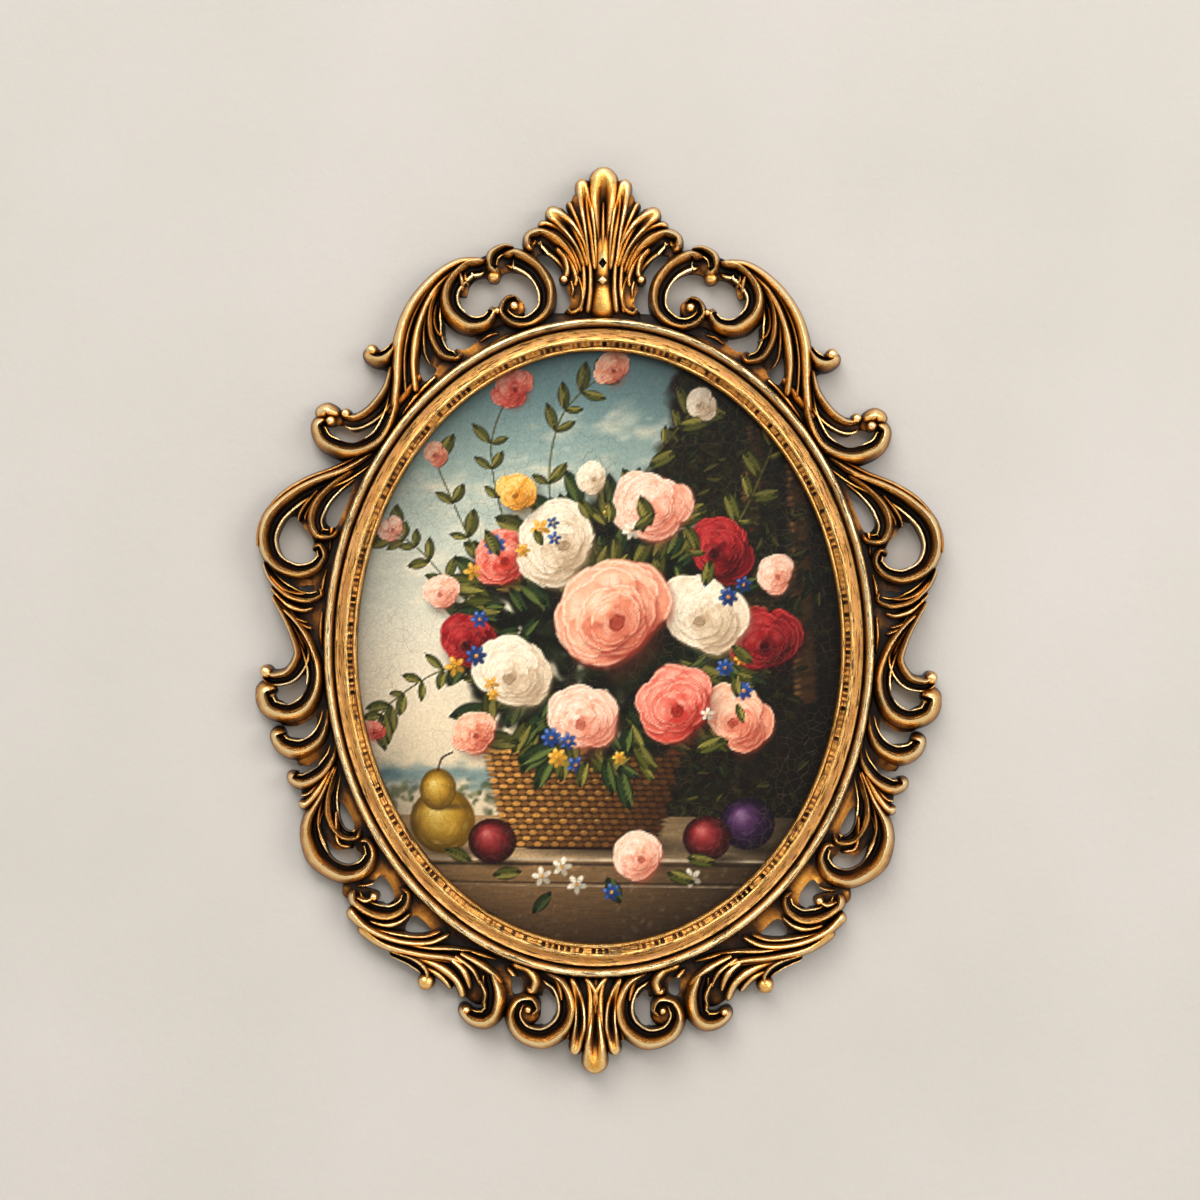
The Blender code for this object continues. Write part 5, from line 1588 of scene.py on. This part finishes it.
    def bouquet(self, canvas: Canvas) -> None:
        """Paints the leaves and the blossoms, from the back of the bouquet to its front."""
        rng = canvas.rng

        def around(x: float, z: float, wide: float, tall: float, turn: float) -> Point:
            """Returns the point of an oval round x and z in this direction."""
            return x + math.cos(turn) * wide, z + math.sin(turn) * tall

        def heart() -> Point:
            """Returns a random place within the bouquet."""
            turn, out = rng.uniform(0, math.tau), math.sqrt(rng.random())
            return around(4, 6, out * 58, out * 50, turn)

        canvas.scatter(700, heart, ("#10110B", "#1C2214", "#0C0D08"), (4, 9), 0.85, 0.5)
        for _ in range(230):
            turn, out = rng.uniform(0, math.tau), rng.uniform(26, 60)
            canvas.leaf(around(4, 4, out, out * 0.9, turn), rng.uniform(9, 18),
                        turn + rng.normal(0, 0.5), self.olive if rng.random() < 0.5 else self.green)
        back = (
            (-36, 104, 9, self.coral, 7), (4, 112, 8, self.rose, 7), (-84, 47, 6, self.blush, 6),
            (40, 98, 7, self.cream, 7), (-66, 77, 5.5, self.rose, 6), (70, 88, 5, self.crimson, 6),
            (-90, -34, 5, self.coral, 6),
        )
        for x, z, radius, tones, petals in back:
            canvas.blossom((x, z), radius, tones, petals, 2)
        heads = (
            (48, 40, 15, self.crimson), (66, 4, 16, self.crimson), (-40, 36, 13, self.coral),
            (20, 58, 17, self.blush), (-52, 2, 13, self.crimson), (42, 14, 19, self.cream),
            (-18, 42, 19, self.cream), (56, -28, 15, self.rose), (-34, -10, 17, self.cream),
            (4, 14, 25, self.rose), (30, -22, 18, self.coral), (-6, -28, 16, self.blush),
            (-34, 62, 9, self.amber), (-64, 22, 8, self.blush), (70, 30, 9, self.blush),
            (-50, -34, 10, self.rose), (-4, 68, 8, self.cream),
        )
        for x, z, radius, tones in heads:
            canvas.dab((x + 2.5, z - 3), radius * 1.15, radius * 1.1, 0.0, shown("#0E0D09"), 0.55, 0.7)
            canvas.blossom((x, z), radius, tones, 9 if radius > 12 else 7, 4 if radius > 14 else 3)
        for _ in range(24):
            turn, out = rng.uniform(0, math.tau), rng.uniform(50, 62)
            petal, tip = rng.choice((("#28488C", "#7F9BD0"), ("#E9E2D2", "#FFFDF6"), ("#20396F", "#6580BE"),
                                     ("#D9A23C", "#F6DE94")))
            canvas.star_flower(around(2, 4, out, out * 0.86, turn), rng.uniform(2.6, 4.6),
                               (petal, tip, "#B4761E"), int(rng.integers(5, 8)))
        for _ in range(18):
            turn, out = rng.uniform(0, math.tau), rng.uniform(48, 60)
            canvas.leaf(around(2, 0, out, out * 0.9, turn), rng.uniform(7, 13),
                        turn + rng.normal(0, 0.6), self.olive)

    def still_life(self, canvas: Canvas) -> None:
        """Paints plums, a pear, fallen blossoms and leaves on the ledge."""
        rng, shadow = canvas.rng, shown(self.shadow)
        plum = ("#120A18", "#2E1A38", "#5A3A62", "#A48EB0")
        red_plum = ("#1E0A0A", "#5A1A1C", "#943638", "#D8908A")
        pear = ("#5A4212", "#A8822E", "#D6B456", "#F4E2A0")
        for x, z, radius, tones, tall in (
            (60, -70, 11.5, plum, 0.95), (44, -76, 10, red_plum, 0.94), (-62, -70, 13.5, pear, 1.0),
            (-64, -57.5, 7.6, pear, 1.15), (-42, -78, 10, red_plum, 0.94),
        ):
            canvas.dab((x + 4, z - radius * 0.9), radius * 1.25, radius * 0.28, 0.0, shadow, 0.6, 0.8)
            canvas.fruit((x, z), radius, tones, tall)
        canvas.stem(((-64, -50), (-62.5, -45), (-58, -42.5)), 0.6, "#3B2712")
        canvas.dab((20, -89), 12, 2.6, 0.1, shadow, 0.5, 0.8)
        canvas.blossom((16, -83), 12, self.blush, 8, 3)
        for at in ((-14, -88), (-22, -92), (-8, -95), (38, -92)):
            canvas.star_flower(at, 4.2, ("#E8E0CC", "#FFFDF4", "#C48A24"), 5)
        for *at, turn in ((-30, -90, 3.5), (-18, -98, 4.2), (4, -92, 5.2), (28, -90, 5.9), (36, -84, 0.2),
                          (-50, -86, 3.0)):
            canvas.leaf(at, 12, turn + rng.normal(0, 0.2), self.green if rng.random() < 0.5 else self.olive)
        canvas.star_flower((6, -98), 3.8, ("#28488C", "#7F9BD0", "#D9A23C"), 6)

    def age(self, canvas: Canvas) -> None:
        """Darkens the edges, yellows the whole, and sharpens what the panel's grid will soften."""
        colours = canvas.colours
        shifts = ((2, 0), (-2, 0), (2, 1), (-2, 1))
        soft = sum(np.roll(colours, step, axis) for step, axis in shifts) / 4
        colours += 0.55 * (colours - soft)
        far = np.hypot(canvas.across[None, :] / canvas.half_width,
                       canvas.upward[:, None] / canvas.half_height)
        shade = 1 - 0.4 * np.clip((far - 0.66) / 0.34, 0, 1) ** 1.6
        colours *= (shade + canvas.rng.normal(0, 0.022, colours.shape[:2]))[..., None]
        grey = colours.mean(axis=2, keepdims=True)
        colours[:] = grey + (colours - grey) * 1.12
        canvas.colours = np.clip(colours * np.array([1.01, 0.98, 0.94]), 0, 1)

    def build(self) -> Piece:
        """Builds the panel, its front a fine grid, and lays the painted colours on it."""
        deselect()
        width, height = self.high.x - self.low.x, self.high.z - self.low.z
        middle = (self.low + self.high) / 2
        columns, lines = round(width / MM / self.pitch), round(height / MM / self.pitch)
        bpy.ops.mesh.primitive_grid_add(x_subdivisions=columns, y_subdivisions=lines, size=1.0)
        panel = bpy.context.active_object
        panel.name = panel.data.name = "painted_panel"
        across, upward = points_of(panel)[:, :2].T * 2
        placed = np.stack([middle.x + across * width / 2, np.full(len(across), self.low.y),
                           middle.z + upward * height / 2], axis=-1)
        panel.data.vertices.foreach_set("co", placed.astype(np.float32).ravel())
        self.select(panel, np.hypot(across, upward) > 1.0)
        bpy.ops.object.mode_set(mode="EDIT")
        bpy.ops.mesh.delete(type="VERT")
        bpy.ops.mesh.select_all(action="SELECT")
        bpy.ops.mesh.region_to_loop()
        bpy.ops.object.mode_set(mode="OBJECT")
        for vert in panel.data.vertices:
            if vert.select:
                x, z = vert.co.x - middle.x, vert.co.z - middle.z
                far = math.hypot(x / (width / 2), z / (height / 2))
                vert.co.x, vert.co.z = middle.x + x / far, middle.z + z / far
        bpy.ops.object.mode_set(mode="EDIT")
        bpy.ops.mesh.extrude_edges_move(TRANSFORM_OT_translate={"value": (0, self.high.y - self.low.y, 0)})
        bpy.ops.mesh.edge_face_add()
        bpy.ops.mesh.select_all(action="SELECT")
        bpy.ops.mesh.normals_make_consistent(inside=False)
        bpy.ops.object.mode_set(mode="OBJECT")
        self.colour(panel, middle)
        choose(panel)
        bpy.ops.object.shade_smooth_by_angle(angle=math.radians(30))
        return panel

    def dress(self, panel: Piece) -> None:
        """Gives the painted panel its varnished paint."""
        panel.data.materials.append(OldOilPaint().build())

    def select(self, panel: Piece, chosen: np.ndarray) -> None:
        """Selects these points of the panel and nothing else."""
        bpy.ops.object.mode_set(mode="EDIT")
        bpy.ops.mesh.select_mode(type="VERT")
        bpy.ops.mesh.select_all(action="DESELECT")
        bpy.ops.object.mode_set(mode="OBJECT")
        panel.data.vertices.foreach_set("select", chosen)

    def colour(self, panel: Piece, middle: Vector) -> None:
        """Reads the canvas at each point of the panel, between its four nearest cells."""
        canvas = self.paint()
        points, grid = points_of(panel), canvas.colours
        column = ((points[:, 0] - middle.x) / MM - canvas.across[0]) / canvas.pitch
        line = ((points[:, 2] - middle.z) / MM - canvas.upward[0]) / canvas.pitch
        column = np.clip(column, 0, len(canvas.across) - 2)
        line = np.clip(line, 0, len(canvas.upward) - 2)
        left, low = column.astype(int), line.astype(int)
        right, up = (column - left)[:, None], (line - low)[:, None]
        below = grid[low, left] * (1 - right) + grid[low, left + 1] * right
        above = grid[low + 1, left] * (1 - right) + grid[low + 1, left + 1] * right
        colours = np.ones((len(points), 4), np.float32)
        colours[:, :3] = to_linear(below * (1 - up) + above * up)
        made = panel.data.color_attributes.new("painted", "FLOAT_COLOR", "POINT")
        made.data.foreach_set("color", colours.ravel())


@dataclass
class BackingBoard:
    """The hardboard back, which keeps its solid's shape: a plain board with nothing finer on it."""

    node: str = "backing_board"

    def dress(self) -> Piece:
        """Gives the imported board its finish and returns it."""
        board = bpy.data.objects[self.node]
        board.data.materials.clear()
        board.data.materials.append(Hardboard().build())
        return board


@dataclass(frozen=True)
class Softbox:
    """A square lamp: its name, its place and side in metres, and its watts."""

    name: str
    place: tuple[float, float, float]
    side: float
    power: float
    tint: str = "#FFFDFA"

    def build(self) -> None:
        """Adds the lamp, turned towards the picture's middle."""
        data = bpy.data.lights.new(self.name, "AREA")
        data.size = self.side
        data.energy = self.power
        data.color = linear(self.tint)[:3]
        lamp = bpy.data.objects.new(self.name, data)
        lamp.location = self.place
        lamp.rotation_euler = (-Vector(self.place)).to_track_quat("-Z", "Y").to_euler()
        bpy.context.scene.collection.objects.link(lamp)


@dataclass
class Studio:
    """The wall, the floor, the lights and the camera, in metres."""

    wall_gap: float = 0.0006
    wall_width: float = 3.2
    wall_height: float = 2.4
    floor_drop: float = 0.62
    floor_depth: float = 2.4
    middle: Point = (0.0002, 0.019)
    frame_width: float = 0.48
    subject_depth: float = 0.008
    lens: float = 85
    sensor: float = 36
    roll: float = math.radians(-0.556)
    room: str = "#F7F4F0"
    room_below: float = 0.22
    room_above: float = 1
    lamps: tuple[Softbox, ...] = (
        Softbox("key", (-0.9, -2.5, 2.7), 2.2, 95),
        Softbox("fill", (1.8, -1.9, 0.5), 1.3, 27),
        Softbox("front", (0.2, -2.8, 1.4), 1, 19),
        Softbox("top", (0, -0.8, 1.6), 1, 1.5, "#FFFFFF"),
    )

    def build(self) -> None:
        """Sets up everything that isn't part of the object."""
        upright = (math.pi / 2, 0.0, 0.0)
        wall = self.plane("wall", self.wall_width, self.wall_height, (0.0, self.wall_gap, 0.0), upright)
        wall.data.materials.append(PalePlaster("pale_plaster_wall", True).build())
        front = (0.0, -self.floor_depth / 2, -self.floor_drop)
        floor = self.plane("floor", self.wall_width, self.floor_depth, front, (0.0, 0.0, 0.0))
        floor.data.materials.append(PalePlaster("pale_floor", False).build())
        for lamp in self.lamps:
            lamp.build()
        self.daylight()
        bpy.context.scene.view_settings.view_transform = "Standard"
        self.camera()

    def plane(self, name: str, width: float, depth: float, place: Sequence[float],
              turned: Sequence[float]) -> Piece:
        """Adds a plain rectangle.

        Args:
            name: Its name.
            width: Its width in metres.
            depth: Its other side in metres.
            place: Where its middle lies.
            turned: Its rotation in radians.

        Returns:
            The rectangle, with its place and turn applied.
        """
        deselect()
        bpy.ops.mesh.primitive_plane_add(size=1.0, location=place, rotation=turned)
        made = bpy.context.active_object
        made.name = made.data.name = name
        made.scale = (width, depth, 1.0)
        bpy.ops.object.transform_apply(location=True, rotation=True, scale=True)
        return made

    def daylight(self) -> None:
        """Lights the room softly, brighter from above than from below."""
        world = bpy.data.worlds.new("studio")
        bpy.context.scene.world = world
        g = Graph(world)
        where = g.add("TexCoord", out="Generated")
        height = g.add("SeparateXYZ", {0: where}, out="Z")
        power = g.add("MapRange", (height, -0.5, 0.5, self.room_below, self.room_above))
        g.add("OutputWorld", {0: g.add("Background", (linear(self.room), power))})

    def camera(self) -> None:
        """Adds the camera, square to the wall and rolled as the photographer held it."""
        data = bpy.data.cameras.new("camera")
        data.lens = self.lens
        data.sensor_width = self.sensor
        camera = bpy.data.objects.new("camera", data)
        away = self.frame_width * self.lens / self.sensor
        camera.location = (self.middle[0], -self.subject_depth - away, self.middle[1])
        camera.rotation_euler = (math.pi / 2, self.roll, 0.0)
        bpy.context.scene.collection.objects.link(camera)
        bpy.context.scene.camera = camera


def attach(piece: Piece, node: str) -> None:
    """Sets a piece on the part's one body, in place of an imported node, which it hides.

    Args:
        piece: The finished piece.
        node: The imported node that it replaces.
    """
    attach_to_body(piece, "root")
    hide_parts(node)


def report(piece: Piece) -> None:
    """Logs a piece's name and how many triangles its mesh makes."""
    LOG.info("%s: %d triangles", piece.name, sum(len(face.vertices) - 2 for face in piece.data.polygons))


def main() -> None:
    """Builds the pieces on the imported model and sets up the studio."""
    logging.basicConfig(level=logging.INFO, format="%(message)s")
    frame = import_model()
    LOG.info("packed nodes: %s", ", ".join(frame["nodes"]))
    low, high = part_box("frame")
    panel_low, panel_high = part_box("picture_panel")
    sight = Oval((panel_high.x - panel_low.x) / 2 - LIP_COVER, (panel_high.z - panel_low.z) / 2 - LIP_COVER)
    seat = (FIT_GAP - panel_low.y) / MM
    casting = Casting(sight, seat, low, high)
    piece = casting.build()
    casting.dress(piece)
    attach(piece, "frame")
    report(piece)
    painting = Painting(panel_low, panel_high)
    piece = painting.build()
    painting.dress(piece)
    attach(piece, "picture_panel")
    report(piece)
    report(BackingBoard().dress())
    Studio().build()


if __name__ == "__main__":
    main()
